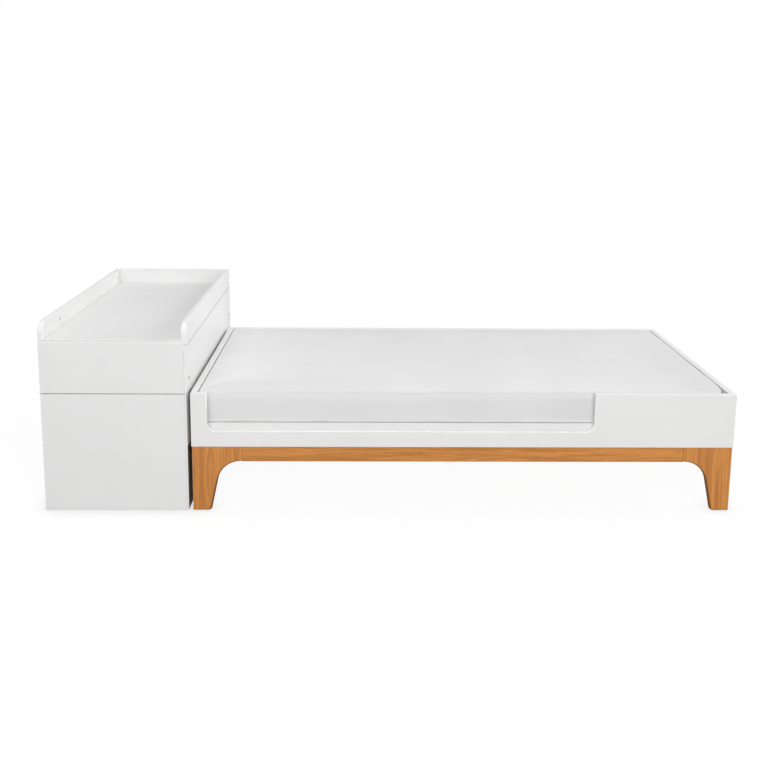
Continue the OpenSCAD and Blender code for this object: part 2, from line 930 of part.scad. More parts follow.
module drawer_left_side() {
    color(white) difference() {
        board([box_x0, fronts_back, drawer_z], [box_x0 + drawer_t, drawer_end, drawer_z + drawer_h]);
        drawer_base(groove_play);
    }
}

module drawer_right_side() {
    color(white) difference() {
        board([box_x1 - drawer_t, fronts_back, drawer_z], [box_x1, drawer_end, drawer_z + drawer_h]);
        drawer_base(groove_play);
    }
}

module drawer_bottom() { color(white) drawer_base(); }

// ---- Telescopic runners ----

// A member of a runner from the side panel's inner face at x = 0: a web and two flanges.
// step counts the members from the cabinet outwards; each nests in the one before.
module runner_member(step, web_at_drawer) {
    inset = step * (runner_skin + play);
    low = runner_z + inset;
    high = runner_z + runner_h - inset;
    from = inset;
    to = web_at_drawer ? runner_w : runner_w - runner_lip - runner_skin - play;
    web = web_at_drawer ? runner_w - runner_skin : from;
    board([web, runner_y, low], [web + runner_skin, runner_y + runner_l, high]);
    board([from, runner_y, low], [to, runner_y + runner_l, low + runner_skin]);
    board([from, runner_y, high - runner_skin], [to, runner_y + runner_l, high]);
}

// Draws its children at the left side panel's inner face, or mirrored at the right one
module at_runner(right) {
    translate([right ? inner_x1 : inner_x0, 0, 0]) mirror([right ? 1 : 0, 0, 0]) children();
}

module runner_channels() {
    color(steel) for (right = [false, true]) at_runner(right) runner_member(0, false);
}
module left_runner_middle() { color(steel) at_runner(false) runner_member(1, false); }
module right_runner_middle() { color(steel) at_runner(true) runner_member(1, false); }
module left_runner_rail() { color(steel) at_runner(false) runner_member(2, true); }
module right_runner_rail() { color(steel) at_runner(true) runner_member(2, true); }

// ---- Door and its pivot hinges ----

// Draws its children at the door's lower edge, and mirrored at its upper edge
module at_door_ends() {
    translate([0, 0, door_z0]) children();
    translate([0, 0, door_z1]) mirror([0, 0, 1]) children();
}

// The plate of a hinge leaf lies just outside the door's edge at z = 0
leaf_low = -play - leaf_t;

module leaf_screws(grow = 0) {
    for (z = leaf_screw_dz)
        rod([chest_x0 + 2 + leaf_w / 2, carcass_y + leaf_head_h + 0.1, z], "y",
            leaf_screw_l + grow, leaf_screw_d + 2 * grow);
}

module leaf_screw_heads(grow = 0) {
    for (z = leaf_screw_dz)
        rod([chest_x0 + 2 + leaf_w / 2, carcass_y + 0.1 - 2 * grow, z], "y",
            leaf_head_h + 2 * grow, leaf_head_d + 2 * grow);
}

module all_leaf_screws(grow = 0) { at_door_ends() leaf_screws(grow); }

// Shallow seats for the leaves in the left side panel's front edge
module leaf_rebates() {
    at_door_ends() board([chest_x0 + 2 - hole_play, carcass_y - 1, leaf_low - 1],
        [chest_x0 + 2 + leaf_w + hole_play, carcass_y + flange_t, flange_h + hole_play]);
}

module hinge_leaves() {
    x0 = chest_x0 + 2;
    color(steel) at_door_ends() difference() {
        union() {
            board([x0, pivot_y - leaf_nose, leaf_low], [x0 + leaf_w, carcass_y + flange_t, -play]);
            board([x0, carcass_y, leaf_low], [x0 + leaf_w, carcass_y + flange_t, flange_h]);
            rod([pivot_x, pivot_y, -play - 0.5], "z", pivot_l + play + 0.5, pivot_d);
        }
        leaf_screws(hole_play);
        leaf_screw_heads(hole_play);
    }
}

module hinge_screws() {
    color(zinc) at_door_ends() {
        leaf_screws();
        leaf_screw_heads();
    }
}

module hinge_bushes() {
    color(plastic) at_door_ends() difference() {
        rod([pivot_x, pivot_y, 0], "z", bush_l, bush_d);
        rod([pivot_x, pivot_y, -1], "z", bush_l + 2, pivot_d + 2 * pivot_play);
    }
}

module door() {
    color(white) difference() {
        board([front_x0, front_y, door_z0], [front_x1, fronts_back, door_z1]);
        at_door_ends() rod([pivot_x, pivot_y, -1], "z", bush_l + 1.2, bush_d + 2 * pivot_play);
    }
}

// ---- Push latches ----

drawer_latch = [chest_cx, latch_y, stretcher_z];
door_latch = [chest_x1 - door_latch_inset, latch_y, divider_z];

// A housing hung under a board at its origin, with the plunger's bore from the front
module latch_housing() {
    difference() {
        board([-latch_w / 2, 0, -latch_h], [latch_w / 2, latch_l, 0]);
        rod([0, -1, -latch_h / 2], "y", latch_l - 5, plunger_d + 2 * hole_play);
    }
}

// A plunger whose tip stands just behind the closed front
module latch_plunger() {
    reach = latch_y - fronts_back - play;
    rod([0, -reach, -latch_h / 2], "y", plunger_l, plunger_d);
}

module latch_housings() {
    color(plastic) for (at = [drawer_latch, door_latch]) translate(at) latch_housing();
}
module drawer_latch_plunger() { color(plastic) translate(drawer_latch) latch_plunger(); }
module door_latch_plunger() { color(plastic) translate(door_latch) latch_plunger(); }

// ---- Nodes ----

centred() front_rail();
centred() back_rail();
centred() left_end_panel();
centred() right_end_panel();
centred() front_left_leg();
centred() front_right_leg();
centred() back_left_leg();
centred() back_right_leg();
centred() front_apron();
centred() back_apron();
centred() left_apron();
centred() right_apron();
centred() corner_posts();
centred() frame_screws();
centred() front_ledger();
centred() back_ledger();
centred() slats();
centred() centre_beam();
centred() centre_leg();
centred() beam_hangers();
centred() joining_plates();
centred() plate_screws();
centred() foot_glides();
centred() mattress();
centred() chest_left_side();
centred() chest_right_side();
centred() chest_bottom();
centred() chest_divider();
centred() stretchers();
centred() chest_back();
centred() cam_locks();
centred() cam_pins();
centred() shelf();
centred() shelf_pins();
centred() link_bolts();
centred() link_spacers();
centred() tray_floor();
centred() tray_left_wall();
centred() tray_right_wall();
centred() tray_back_wall();
centred() tray_screws();
centred() drawer_front();
centred() drawer_inner_front();
centred() drawer_left_side();
centred() drawer_right_side();
centred() drawer_back();
centred() drawer_bottom();
centred() runner_channels();
centred() left_runner_middle();
centred() right_runner_middle();
centred() left_runner_rail();
centred() right_runner_rail();
centred() door();
centred() hinge_bushes();
centred() hinge_leaves();
centred() hinge_screws();
centred() latch_housings();
centred() drawer_latch_plunger();
centred() door_latch_plunger();
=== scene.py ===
import math
import bpy
import bmesh
from mathutils import Matrix, Vector, noise


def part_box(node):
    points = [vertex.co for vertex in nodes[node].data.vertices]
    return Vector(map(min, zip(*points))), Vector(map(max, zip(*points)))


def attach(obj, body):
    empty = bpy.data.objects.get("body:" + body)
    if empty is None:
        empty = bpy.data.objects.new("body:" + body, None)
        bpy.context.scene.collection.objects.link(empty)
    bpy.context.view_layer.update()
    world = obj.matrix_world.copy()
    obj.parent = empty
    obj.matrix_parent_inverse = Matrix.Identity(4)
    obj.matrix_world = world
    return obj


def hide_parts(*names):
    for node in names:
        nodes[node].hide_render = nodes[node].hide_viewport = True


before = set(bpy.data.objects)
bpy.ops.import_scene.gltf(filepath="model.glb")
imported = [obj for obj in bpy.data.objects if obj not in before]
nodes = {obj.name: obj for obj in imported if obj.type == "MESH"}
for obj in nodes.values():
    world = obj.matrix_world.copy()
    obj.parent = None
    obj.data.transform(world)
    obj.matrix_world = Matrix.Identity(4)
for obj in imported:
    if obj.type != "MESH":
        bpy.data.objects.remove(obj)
scene = bpy.context.scene
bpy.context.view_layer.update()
print("frame loaded:", len(nodes), "nodes")


# small helpers for node trees

nodeGrid = {"column": 200, "row": 180}


def fill(tree, node, values):
    # links sockets and nodes to a node's inputs, and sets plain values
    for key, value in values.items():
        if isinstance(value, bpy.types.Node):
            value = value.outputs[0]
        if isinstance(value, bpy.types.NodeSocket):
            tree.links.new(value, node.inputs[key])
        else:
            node.inputs[key].default_value = value
    # the node stands one column right of what feeds it, below the others in its column
    feeders = [link.from_node.location.x for socket in node.inputs for link in socket.links]
    column = max(feeders, default=0) + nodeGrid["column"]
    above = sum(other.location.x == column for other in tree.nodes)
    node.location = (column, -above * nodeGrid["row"])


def wire(tree, kind, values=None, **settings):
    # adds a node, sets its properties, then fills its inputs
    node = tree.nodes.new(kind)
    for name, value in settings.items():
        setattr(node, name, value)
    fill(tree, node, values or {})
    return node


def calc(tree, operation, a, b=0.0):
    values = {0: a} if b is None else {0: a, 1: b}
    return wire(tree, "ShaderNodeMath", values, operation=operation).outputs[0]


def stretch(tree, vector, factors):
    node = wire(tree, "ShaderNodeVectorMath", {0: vector, 1: factors}, operation="MULTIPLY")
    return node.outputs[0]


def lengthOf(tree, vector):
    node = wire(tree, "ShaderNodeVectorMath", {0: vector}, operation="LENGTH")
    return node.outputs["Value"]


def remap(tree, value, low, high, toLow=0.0, toHigh=1.0):
    node = wire(tree, "ShaderNodeMapRange", {0: value, 1: low, 2: high, 3: toLow, 4: toHigh})
    return node.outputs[0]


def noiseField(tree, vector, scale, detail=2.0, rough=0.5):
    node = wire(tree, "ShaderNodeTexNoise", {
        "Vector": vector, "Scale": scale, "Detail": detail, "Roughness": rough})
    return node.outputs["Fac"]


def meshMark(tree, name, output="Fac"):
    # reads what a mesh stores under this name
    return wire(tree, "ShaderNodeAttribute", attribute_name=name).outputs[output]


def objectPlace(tree):
    return wire(tree, "ShaderNodeTexCoord").outputs["Object"]


def blendColor(tree, factor, first, second):
    # a plain colour is given as its three values
    first, second = [tint if isinstance(tint, bpy.types.NodeSocket) else (*tint, 1)
                     for tint in (first, second)]
    node = wire(tree, "ShaderNodeMix", {0: factor, 6: first, 7: second}, data_type="RGBA")
    return node.outputs[2]


def newTree(name, kind, inputs, outputs):
    # each input has a label, a type and a value, each output a label and a type
    tree = bpy.data.node_groups.new(name, kind + "NodeTree")
    for label, holds, value in inputs:
        socket = tree.interface.new_socket(label, in_out="INPUT", socket_type="NodeSocket" + holds)
        if value is not None:
            socket.default_value = value
    for label, holds in outputs:
        tree.interface.new_socket(label, in_out="OUTPUT", socket_type="NodeSocket" + holds)
    given = wire(tree, "NodeGroupInput").outputs
    return tree, given, wire(tree, "NodeGroupOutput")


def newGroup(name, outputs, sizes):
    # a shader group reads a place on the piece and its own sizes, and gives masks and heights
    inputs = [("Vector", "Vector", (0, 0, 0))]
    inputs += [(label, "Float", value) for label, value in sizes.items()]
    return newTree(name, "Shader", inputs, [(label, "Float") for label in outputs])


# shader groups that several materials share

def makeEdgeWearAndHighlight():
    # the rounded edges of a board carry "edge" = 1; noise breaks the edge colour into patches:
    # wear on most finishes, a painted highlight on the white lacquers
    group, given, out = newGroup("edgeWearAndHighlight", ["Mask"], {"Patch Size": 0.04, "Amount": 0.5})
    rim = meshMark(group, "edge")
    size = calc(group, "DIVIDE", 1.0, given["Patch Size"])
    patches = noiseField(group, given["Vector"], size, 4.0, 0.65)
    broken = remap(group, patches, 0.42, 0.66, 0.15, 1.0)
    onRim = calc(group, "MULTIPLY", broken, rim)
    fill(group, out, {"Mask": calc(group, "MULTIPLY", onRim, given["Amount"])})
    return group


def makeSkinGrain():
    # sprayed or moulded skin: fine peel, wide tone drift, and rubbed or dusty patches
    group, given, out = newGroup("skinGrain", ["Height", "Tone", "Rub"], {
        "Peel Size": 0.002, "Patch Size": 0.3})
    fine = calc(group, "DIVIDE", 1.0, given["Peel Size"])
    wide = calc(group, "DIVIDE", 1.0, given["Patch Size"])
    often = calc(group, "MULTIPLY", wide, 7.0)
    peel = noiseField(group, given["Vector"], fine)
    drift = noiseField(group, given["Vector"], wide, 3.0, 0.55)
    rub = noiseField(group, given["Vector"], often, 6.0, 0.7)
    fill(group, out, {"Height": peel, "Tone": remap(group, drift, 0.3, 0.7),
                      "Rub": remap(group, rub, 0.45, 0.75)})
    return group


def makeWoodGrain():
    # the vector is the board's own "blank": x along the grain, y and z across, pith at its origin
    group, given, out = newGroup("woodGrain", ["Ring", "Fibre", "Pore", "Height"], {
        "Ring Width": 0.006, "Wander": 0.02, "Fibre Width": 0.0008, "Pore Length": 0.01})
    blank = given["Vector"]
    bend = noiseField(group, stretch(group, blank, (2.4, 5.0, 5.0)), 1.0, 2.5, 0.45)
    centred = calc(group, "SUBTRACT", bend, 0.5)
    shift = calc(group, "MULTIPLY", centred, given["Wander"])
    across = lengthOf(group, stretch(group, blank, (0.0, 1.0, 1.0)))
    radius = calc(group, "ADD", across, shift)
    turns = calc(group, "DIVIDE", radius, given["Ring Width"])
    ring = calc(group, "FRACT", turns, None)
    late = calc(group, "POWER", ring, 2.2)
    fade = noiseField(group, stretch(group, blank, (2.0, 30.0, 30.0)), 1.0)
    strength = remap(group, fade, 0.3, 0.7, 0.35, 1.0)
    thin = calc(group, "DIVIDE", 1.0, given["Fibre Width"])
    fibre = noiseField(group, stretch(group, blank, (0.03, 1.0, 1.0)), thin, 3.0, 0.6)
    long = calc(group, "DIVIDE", 1.0, given["Pore Length"])
    dash = noiseField(group, stretch(group, blank, (1.0, 24.0, 24.0)), long, 1.0)
    pore = remap(group, dash, 0.62, 0.72)
    opened = calc(group, "MULTIPLY", pore, remap(group, ring, 0.9, 0.1, 0.25, 1.0))
    raised = calc(group, "MULTIPLY", fibre, 0.4)
    fill(group, out, {
        "Ring": calc(group, "MULTIPLY", late, strength), "Fibre": fibre, "Pore": opened,
        "Height": calc(group, "SUBTRACT", raised, opened)})
    return group


def makeClothWeave():
    # plain weave from three crossed waves, so it lies on the top and on the sides alike
    group, given, out = newGroup("clothWeave", ["Height", "Tone"], {"Thread": 0.0006, "Slub": 0.5})
    place = given["Vector"]
    nudge = calc(group, "MULTIPLY", noiseField(group, place, 55.0, 3.0), 2.5)
    turn = calc(group, "DIVIDE", 2 * math.pi, given["Thread"])
    parts = wire(group, "ShaderNodeSeparateXYZ", {0: place}).outputs
    phases = [calc(group, "MULTIPLY", parts[i], turn) for i in range(3)]
    nudged = [calc(group, "ADD", phases[i], nudge) for i in range(3)]
    waves = [calc(group, "SINE", nudged[i], None) for i in range(3)]
    crossed = calc(group, "ADD", calc(group, "ADD", waves[0], waves[1]), waves[2])
    slubs = noiseField(group, stretch(group, place, (60.0, 900.0, 900.0)), 1.0)
    thick = calc(group, "MULTIPLY", slubs, given["Slub"])
    woven = calc(group, "MULTIPLY", crossed, 0.25)
    fill(group, out, {"Height": calc(group, "ADD", woven, thick),
                      "Tone": noiseField(group, place, 3.5, 3.0)})
    return group


def makeMetalBrush():
    # drawn or rolled metal: long fine lines along the vector's y, and dull clouds
    group, given, out = newGroup("metalBrush", ["Height", "Cloud"], {
        "Line Width": 0.0004, "Cloud Size": 0.03})
    thin = calc(group, "DIVIDE", 1.0, given["Line Width"])
    wide = calc(group, "DIVIDE", 1.0, given["Cloud Size"])
    along = stretch(group, given["Vector"], (1.0, 0.02, 1.0))
    cloud = noiseField(group, given["Vector"], wide, 4.0, 0.6)
    fill(group, out, {"Height": noiseField(group, along, thin),
                      "Cloud": remap(group, cloud, 0.3, 0.7)})
    return group


edgeWearAndHighlight = makeEdgeWearAndHighlight()
skinGrain = makeSkinGrain()
woodGrain = makeWoodGrain()
clothWeave = makeClothWeave()
metalBrush = makeMetalBrush()


def emptyMaterial(name):
    material = bpy.data.materials.new(name)
    material.use_nodes = True
    material.node_tree.nodes.clear()
    return material, material.node_tree


def finishMaterial(material, shown, values):
    # one Principled shader takes what the recipe worked out
    shader = wire(material.node_tree, "ShaderNodeBsdfPrincipled", values)
    wire(material.node_tree, "ShaderNodeOutputMaterial", {0: shader})
    material.diffuse_color = (*shown, 1)
    return material


def placeGroup(tree, group, values):
    return wire(tree, "ShaderNodeGroup", values, node_tree=group).outputs


def bumpOf(tree, height, depth, strength=1.0):
    return wire(tree, "ShaderNodeBump", {
        "Height": height, "Distance": depth, "Strength": strength})


def skinMaterial(name, look):
    # lacquer, foil and moulded plastic are one recipe with their own values
    material, tree = emptyMaterial(name)
    place = objectPlace(tree)
    skin = placeGroup(tree, skinGrain, {
        "Vector": place, "Peel Size": look["peel"], "Patch Size": look["patch"]})
    wear = placeGroup(tree, edgeWearAndHighlight, {
        "Vector": place, "Patch Size": look["edgePatch"], "Amount": look["wear"]})
    color = blendColor(tree, skin["Tone"], look["deep"], look["color"])
    # on the white lacquers the lighter edge colour is a painted highlight; on foil and nylon the
    # darker edge colour is wear
    worn = blendColor(tree, wear["Mask"], color, look["worn"])
    # the seam mask darkens the tray's joints, and is also painted shade on the chest side in the
    # gap beside the bed
    darkened = blendColor(tree, meshMark(tree, "seam"), worn, look["joint"])
    # the core colour shows in drilled holes, and is also painted shade on the chest side below the
    # bed's end panel
    bore = meshMark(tree, "bore")
    rough = remap(tree, skin["Rub"], 0.0, 1.0, look["rough"], look["roughRubbed"])
    rawCore = calc(tree, "MULTIPLY", bore, 0.98)
    return finishMaterial(material, look["color"], {
        "Base Color": blendColor(tree, bore, darkened, look["core"]),
        "Roughness": calc(tree, "MAXIMUM", rough, rawCore),
        "Normal": bumpOf(tree, skin["Height"], look["depth"])})


def woodMaterial(name, look):
    material, tree = emptyMaterial(name)
    blank = meshMark(tree, "blank", "Vector")
    grain = placeGroup(tree, woodGrain, {
        "Vector": blank, "Ring Width": look["ringWidth"], "Wander": look["wander"],
        "Fibre Width": look["fibre"], "Pore Length": look["pore"]})
    wear = placeGroup(tree, edgeWearAndHighlight, {
        "Vector": blank, "Patch Size": look["edgePatch"], "Amount": look["wear"]})
    ringed = blendColor(tree, grain["Ring"], look["early"], look["late"])
    streak = remap(tree, grain["Fibre"], 0.3, 0.7, 0.0, look["streak"])
    streaked = blendColor(tree, streak, ringed, look["fibreColor"])
    drift = noiseField(tree, stretch(tree, blank, (3.0, 60.0, 60.0)), 1.0, 4.0, 0.74)
    clouds = remap(tree, drift, 0.44, 0.62, 0.0, 0.82)
    clouded = blendColor(tree, clouds, streaked, look["drift"])
    pores = calc(tree, "MULTIPLY", grain["Pore"], look["poreTone"])
    dotted = blendColor(tree, pores, clouded, look["poreColor"])
    worn = blendColor(tree, wear["Mask"], dotted, look["worn"])
    # the sawn faces' dark colour is painted shade; their roughness and missing coat are real
    cut = meshMark(tree, "cut")
    sawnShadeTone = calc(tree, "MULTIPLY", cut, 0.9)
    cutRough = calc(tree, "MULTIPLY", cut, 0.95)
    rough = remap(tree, grain["Fibre"], 0.3, 0.7, look["rough"], look["roughFibre"])
    return finishMaterial(material, look["early"], {
        "Base Color": blendColor(tree, sawnShadeTone, worn, look["cut"]),
        "Roughness": calc(tree, "MAXIMUM", rough, cutRough),
        "Coat Weight": remap(tree, cut, 0.0, 1.0, look["coat"], 0.0),
        "Coat Roughness": 0.35,
        "Normal": bumpOf(tree, grain["Height"], look["depth"], 0.8)})


def metalMaterial(name, look):
    material, tree = emptyMaterial(name)
    brush = placeGroup(tree, metalBrush, {
        "Vector": objectPlace(tree), "Line Width": look["line"], "Cloud Size": look["cloud"]})
    rough = remap(tree, brush["Cloud"], 0.0, 1.0, look["rough"], look["dullRough"])
    return finishMaterial(material, look["color"], {
        "Base Color": blendColor(tree, brush["Cloud"], look["color"], look["dull"]),
        "Roughness": rough, "Metallic": 1.0,
        "Normal": bumpOf(tree, brush["Height"], look["depth"])})


def clothMaterial(name, look):
    material, tree = emptyMaterial(name)
    weave = placeGroup(tree, clothWeave, {
        "Vector": objectPlace(tree), "Thread": look["thread"], "Slub": look["slub"]})
    tone = remap(tree, weave["Tone"], 0.3, 0.7)
    cover = blendColor(tree, tone, look["deep"], look["color"])
    # the hem colour that the cover's shade values blend in is painted shade
    return finishMaterial(material, look["color"], {
        "Base Color": blendColor(tree, meshMark(tree, "hem"), cover, look["hem"]),
        "Roughness": remap(tree, weave["Height"], -0.4, 1.0, 0.78, 0.95),
        "Sheen Weight": look["sheen"], "Sheen Roughness": 0.5,
        "Normal": bumpOf(tree, weave["Height"], look["depth"])})


# the lighter edge colour of the white lacquers is a painted highlight on the rounded edges
lacquerLook = {
    "color": (0.83, 0.83, 0.825), "deep": (0.8, 0.8, 0.797), "worn": (0.95, 0.95, 0.94),
    "peel": 0.0035, "patch": 0.35, "edgePatch": 0.05, "wear": 0.85, "rough": 0.36,
    "roughRubbed": 0.5, "depth": 0.00003, "joint": (0.3, 0.3, 0.29), "core": (0.16, 0.13, 0.1)}
whiteLacquer = skinMaterial("whiteLacquer", lacquerLook)
# a darker copy of the white lacquer: painted shade on the tray floor and the front ledger
shadedLacquer = skinMaterial("shadedLacquer", {
    **lacquerLook, "color": (0.79, 0.79, 0.787), "deep": (0.76, 0.76, 0.758),
    "worn": (0.88, 0.88, 0.87)})
foilWhite = skinMaterial("foilWhite", {
    "color": (0.8, 0.8, 0.785), "deep": (0.765, 0.765, 0.75), "worn": (0.6, 0.56, 0.5),
    "peel": 0.0012, "patch": 0.2, "edgePatch": 0.03, "wear": 0.5, "rough": 0.55,
    "roughRubbed": 0.68, "depth": 0.00006, "joint": (0.5, 0.5, 0.48), "core": (0.33, 0.24, 0.15)})
nylonWhite = skinMaterial("nylonWhite", {
    "color": (0.74, 0.74, 0.72), "deep": (0.68, 0.68, 0.66), "worn": (0.5, 0.5, 0.48),
    "peel": 0.0006, "patch": 0.02, "edgePatch": 0.006, "wear": 0.5, "rough": 0.45,
    "roughRubbed": 0.6, "depth": 0.00004, "joint": (0.4, 0.4, 0.38), "core": (0.55, 0.55, 0.53)})
# the oak's darkest colour, on the sawn profile, is painted shade
oakOiled = woodMaterial("oakOiled", {
    "early": (0.73, 0.302, 0.06), "late": (0.455, 0.157, 0.027), "fibreColor": (0.42, 0.145, 0.02),
    "drift": (0.42, 0.145, 0.018), "poreColor": (0.22, 0.07, 0.012), "worn": (0.25, 0.085, 0.018),
    "cut": (0.17, 0.062, 0.012), "ringWidth": 0.009, "wander": 0.075, "fibre": 0.0018,
    "pore": 0.012, "streak": 0.46, "poreTone": 0.6, "edgePatch": 0.03, "wear": 0.75,
    "rough": 0.44, "roughFibre": 0.58, "coat": 0.12, "depth": 0.00012})
birchRaw = woodMaterial("birchRaw", {
    "early": (0.73, 0.56, 0.36), "late": (0.62, 0.44, 0.26), "fibreColor": (0.66, 0.49, 0.3),
    "drift": (0.69, 0.52, 0.33), "poreColor": (0.45, 0.3, 0.17), "worn": (0.76, 0.6, 0.41),
    "cut": (0.6, 0.43, 0.26), "ringWidth": 0.005, "wander": 0.03, "fibre": 0.0009,
    "pore": 0.006, "streak": 0.4, "poreTone": 0.35, "edgePatch": 0.03, "wear": 0.4,
    "rough": 0.62, "roughFibre": 0.76, "coat": 0.0, "depth": 0.00014})
zincPlate = metalMaterial("zincPlate", {
    "color": (0.62, 0.62, 0.6), "dull": (0.5, 0.5, 0.47), "line": 0.0003, "cloud": 0.006,
    "rough": 0.34, "dullRough": 0.52, "depth": 0.00002})
rolledSteel = metalMaterial("rolledSteel", {
    "color": (0.66, 0.66, 0.66), "dull": (0.58, 0.58, 0.59), "line": 0.0004, "cloud": 0.03,
    "rough": 0.26, "dullRough": 0.44, "depth": 0.00002})
# the hem colour is the dark grey of the cover's painted shade
cottonCover = clothMaterial("cottonCover", {
    "color": (0.83, 0.83, 0.832), "deep": (0.795, 0.795, 0.8), "hem": (0.48, 0.48, 0.485),
    "thread": 0.0007, "slub": 0.5, "sheen": 0.12, "depth": 0.00012})
print("materials made")


# boards: a copy of the CAD board with its long edges rounded over

def islandsOf(work):
    # splits a merged mesh into its separate solids
    seen, islands = set(), []
    for start in work.verts:
        if start in seen:
            continue
        island, queue = [], [start]
        seen.add(start)
        while queue:
            vert = queue.pop()
            island.append(vert)
            for edge in vert.link_edges:
                other = edge.other_vert(vert)
                if other not in seen:
                    seen.add(other)
                    queue.append(other)
        islands.append(island)
    return islands


def indexIslands(work):
    work.verts.index_update()
    return [[vert.index for vert in island] for island in islandsOf(work)]


def mergedCopy(nodeName):
    work = bmesh.new()
    work.from_mesh(nodes[nodeName].data)
    bmesh.ops.remove_doubles(work, verts=work.verts, dist=0.00001)
    bmesh.ops.dissolve_limit(work, angle_limit=math.radians(0.4), verts=work.verts,
                             edges=work.edges)
    return work


def loopMark(work, name):
    return work.loops.layers.float.get(name) or work.loops.layers.float.new(name)


def mark(face, layer, value):
    for loop in face.loops:
        loop[layer] = value


def markBores(work):
    # walls and bottoms of drilled holes show the board's raw core
    rimLength, holeReach = 0.0015, 0.03
    bore = loopMark(work, "bore")
    for face in work.faces:
        short = sum(edge.calc_length() < rimLength for edge in face.edges)
        reach = max((vert.co - face.verts[0].co).length for vert in face.verts)
        if short >= 2 and reach < holeReach:
            mark(face, bore, 1.0)


def markCuts(work):
    # sloped and curved sawn faces are marked: they are rougher and uncoated, and their darker
    # colour is painted shade
    cut = loopMark(work, "cut")
    for face in work.faces:
        if max(abs(value) for value in face.normal) < 0.9998:
            mark(face, cut, 1.0)


def bevelEdges(work, edges, radius, steps):
    made = bmesh.ops.bevel(work, geom=edges, offset=radius, offset_type="OFFSET", segments=steps,
                           profile=0.5, affect="EDGES", clamp_overlap=False, loop_slide=True)
    return made["faces"]


def roundProfile(work, radius, steps, onProfile):
    # rounds the edges where a sawn profile meets the board's front or back face
    profile = [edge for edge in work.edges if len(edge.link_faces) == 2
               and edge.calc_face_angle() > math.radians(60)
               and any(onProfile(face) for face in edge.link_faces)
               and any(abs(face.normal.y) > 0.99 for face in edge.link_faces)]
    made = bevelEdges(work, profile, radius, steps)
    work.normal_update()
    return set(made)


legProfile = {"radius": 0.0048, "darkSide": 1.3, "darkSlope": 1.8}


def roundLegs(work, steps):
    # the sawn profile is sanded rounder than the rest; its rounded faces take the painted shade
    # colour, less where they face downwards
    look = legProfile
    cut = loopMark(work, "cut")
    made = roundProfile(work, look["radius"], steps, lambda face: face.loops[0][cut] > 0.5)
    for face in made:
        mark(face, cut, min(1.0, max(0.0, look["darkSide"] + look["darkSlope"] * face.normal.z)))
    return made


railCutOut = {"radius": 0.0036, "endMargin": 0.03, "lowMargin": 0.01, "highMargin": 0.001}


def roundCutOut(work, steps):
    # arms and legs rest on the cut-out's edge, so it is rounder than the other edges
    look = railCutOut
    low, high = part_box("front_rail")
    low += Vector((look["endMargin"], 0, look["lowMargin"]))
    high -= Vector((look["endMargin"], 0, look["highMargin"]))
    rim, bore = loopMark(work, "edge"), loopMark(work, "bore")

    def onCutOut(face):
        middle = face.calc_center_median()
        inner = low.x < middle.x < high.x and low.z < middle.z < high.z
        return inner and abs(face.normal.y) < 0.5 and face.loops[0][bore] < 0.5

    made = roundProfile(work, look["radius"], steps, onCutOut)
    for face in made:
        mark(face, rim, 1.0)
    return made


def roundEdges(work, radius, steps, shortest, joint, done):
    # drilled rims have very short edges and stay crisp; a joint starts at a front and has a height
    rim, seam, bore = [loopMark(work, name) for name in ("edge", "seam", "bore")]
    sharp = [edge for edge in work.edges if len(edge.link_faces) == 2
             and edge.calc_length() > shortest and edge.calc_face_angle() > math.radians(28)
             and not any(face in done for face in edge.link_faces)]
    for face in bevelEdges(work, sharp, radius, steps):
        middle = face.calc_center_median()
        darkened = joint and middle.y > joint.y and abs(middle.z - joint.z) < radius
        mark(face, rim, 1.0)
        mark(face, seam, float(bool(darkened)))
        mark(face, bore, 0.0)


def splitBoard(work, point, normal):
    whole = work.verts[:] + work.edges[:] + work.faces[:]
    bmesh.ops.bisect_plane(work, geom=whole, dist=0.00001, plane_co=point, plane_no=normal)


def frontOf(work):
    # the y just behind a board's front face
    return min(vert.co.y for vert in work.verts) + 0.0001


edgeBand = {"thickness": 0.002}
# the reach and the strength of the painted shade on the chest side in the gap to the bed
bedSide = {"clearance": 0.0004, "gapShadeDepth": 0.075, "gapShade": 0.12}


def bandFront(work):
    front = frontOf(work)
    for vert in work.verts:
        if vert.co.y < front:
            vert.co.y -= edgeBand["thickness"]


def shapeBedSide(work):
    # a lip beside the fronts, in line with them, and painted shade on the side's outer face in the
    # narrow gap to the bed: a grey tone up to the bed's top, and the dark core colour below the
    # bed's end panel
    doorLow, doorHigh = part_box("door")
    bedLow, bedTop = [corner.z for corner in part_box("left_end_panel")]
    splitBoard(work, (doorHigh.x + bedSide["clearance"], 0, 0), (1, 0, 0))
    work.normal_update()
    front = frontOf(work)
    lip = [face for face in work.faces if face.calc_center_median().y < front
           and face.calc_center_median().x > doorHigh.x]
    made = bmesh.ops.extrude_face_region(work, geom=lip)
    bmesh.ops.delete(work, geom=[face for face in lip if face.is_valid], context="FACES_ONLY")
    for vert in (item for item in made["geom"] if isinstance(item, bmesh.types.BMVert)):
        vert.co.y = doorLow.y
    bmesh.ops.recalc_face_normals(work, faces=work.faces)
    gapShadeEnd = doorLow.y + bedSide["gapShadeDepth"]
    for height in (bedLow, bedTop):
        splitBoard(work, (0, 0, height), (0, 0, 1))
    splitBoard(work, (0, gapShadeEnd, 0), (0, 1, 0))
    work.normal_update()
    bore, seam = loopMark(work, "bore"), loopMark(work, "seam")
    for face in work.faces:
        middle = face.calc_center_median()
        if face.normal.x > 0.99 and middle.y < gapShadeEnd and middle.z < bedTop:
            mark(face, seam, bedSide["gapShade"])
            mark(face, bore, float(middle.z < bedLow))


logPlace = {"along": 3, "across": 0.03, "depth": 0.028, "depthChange": 0.012}


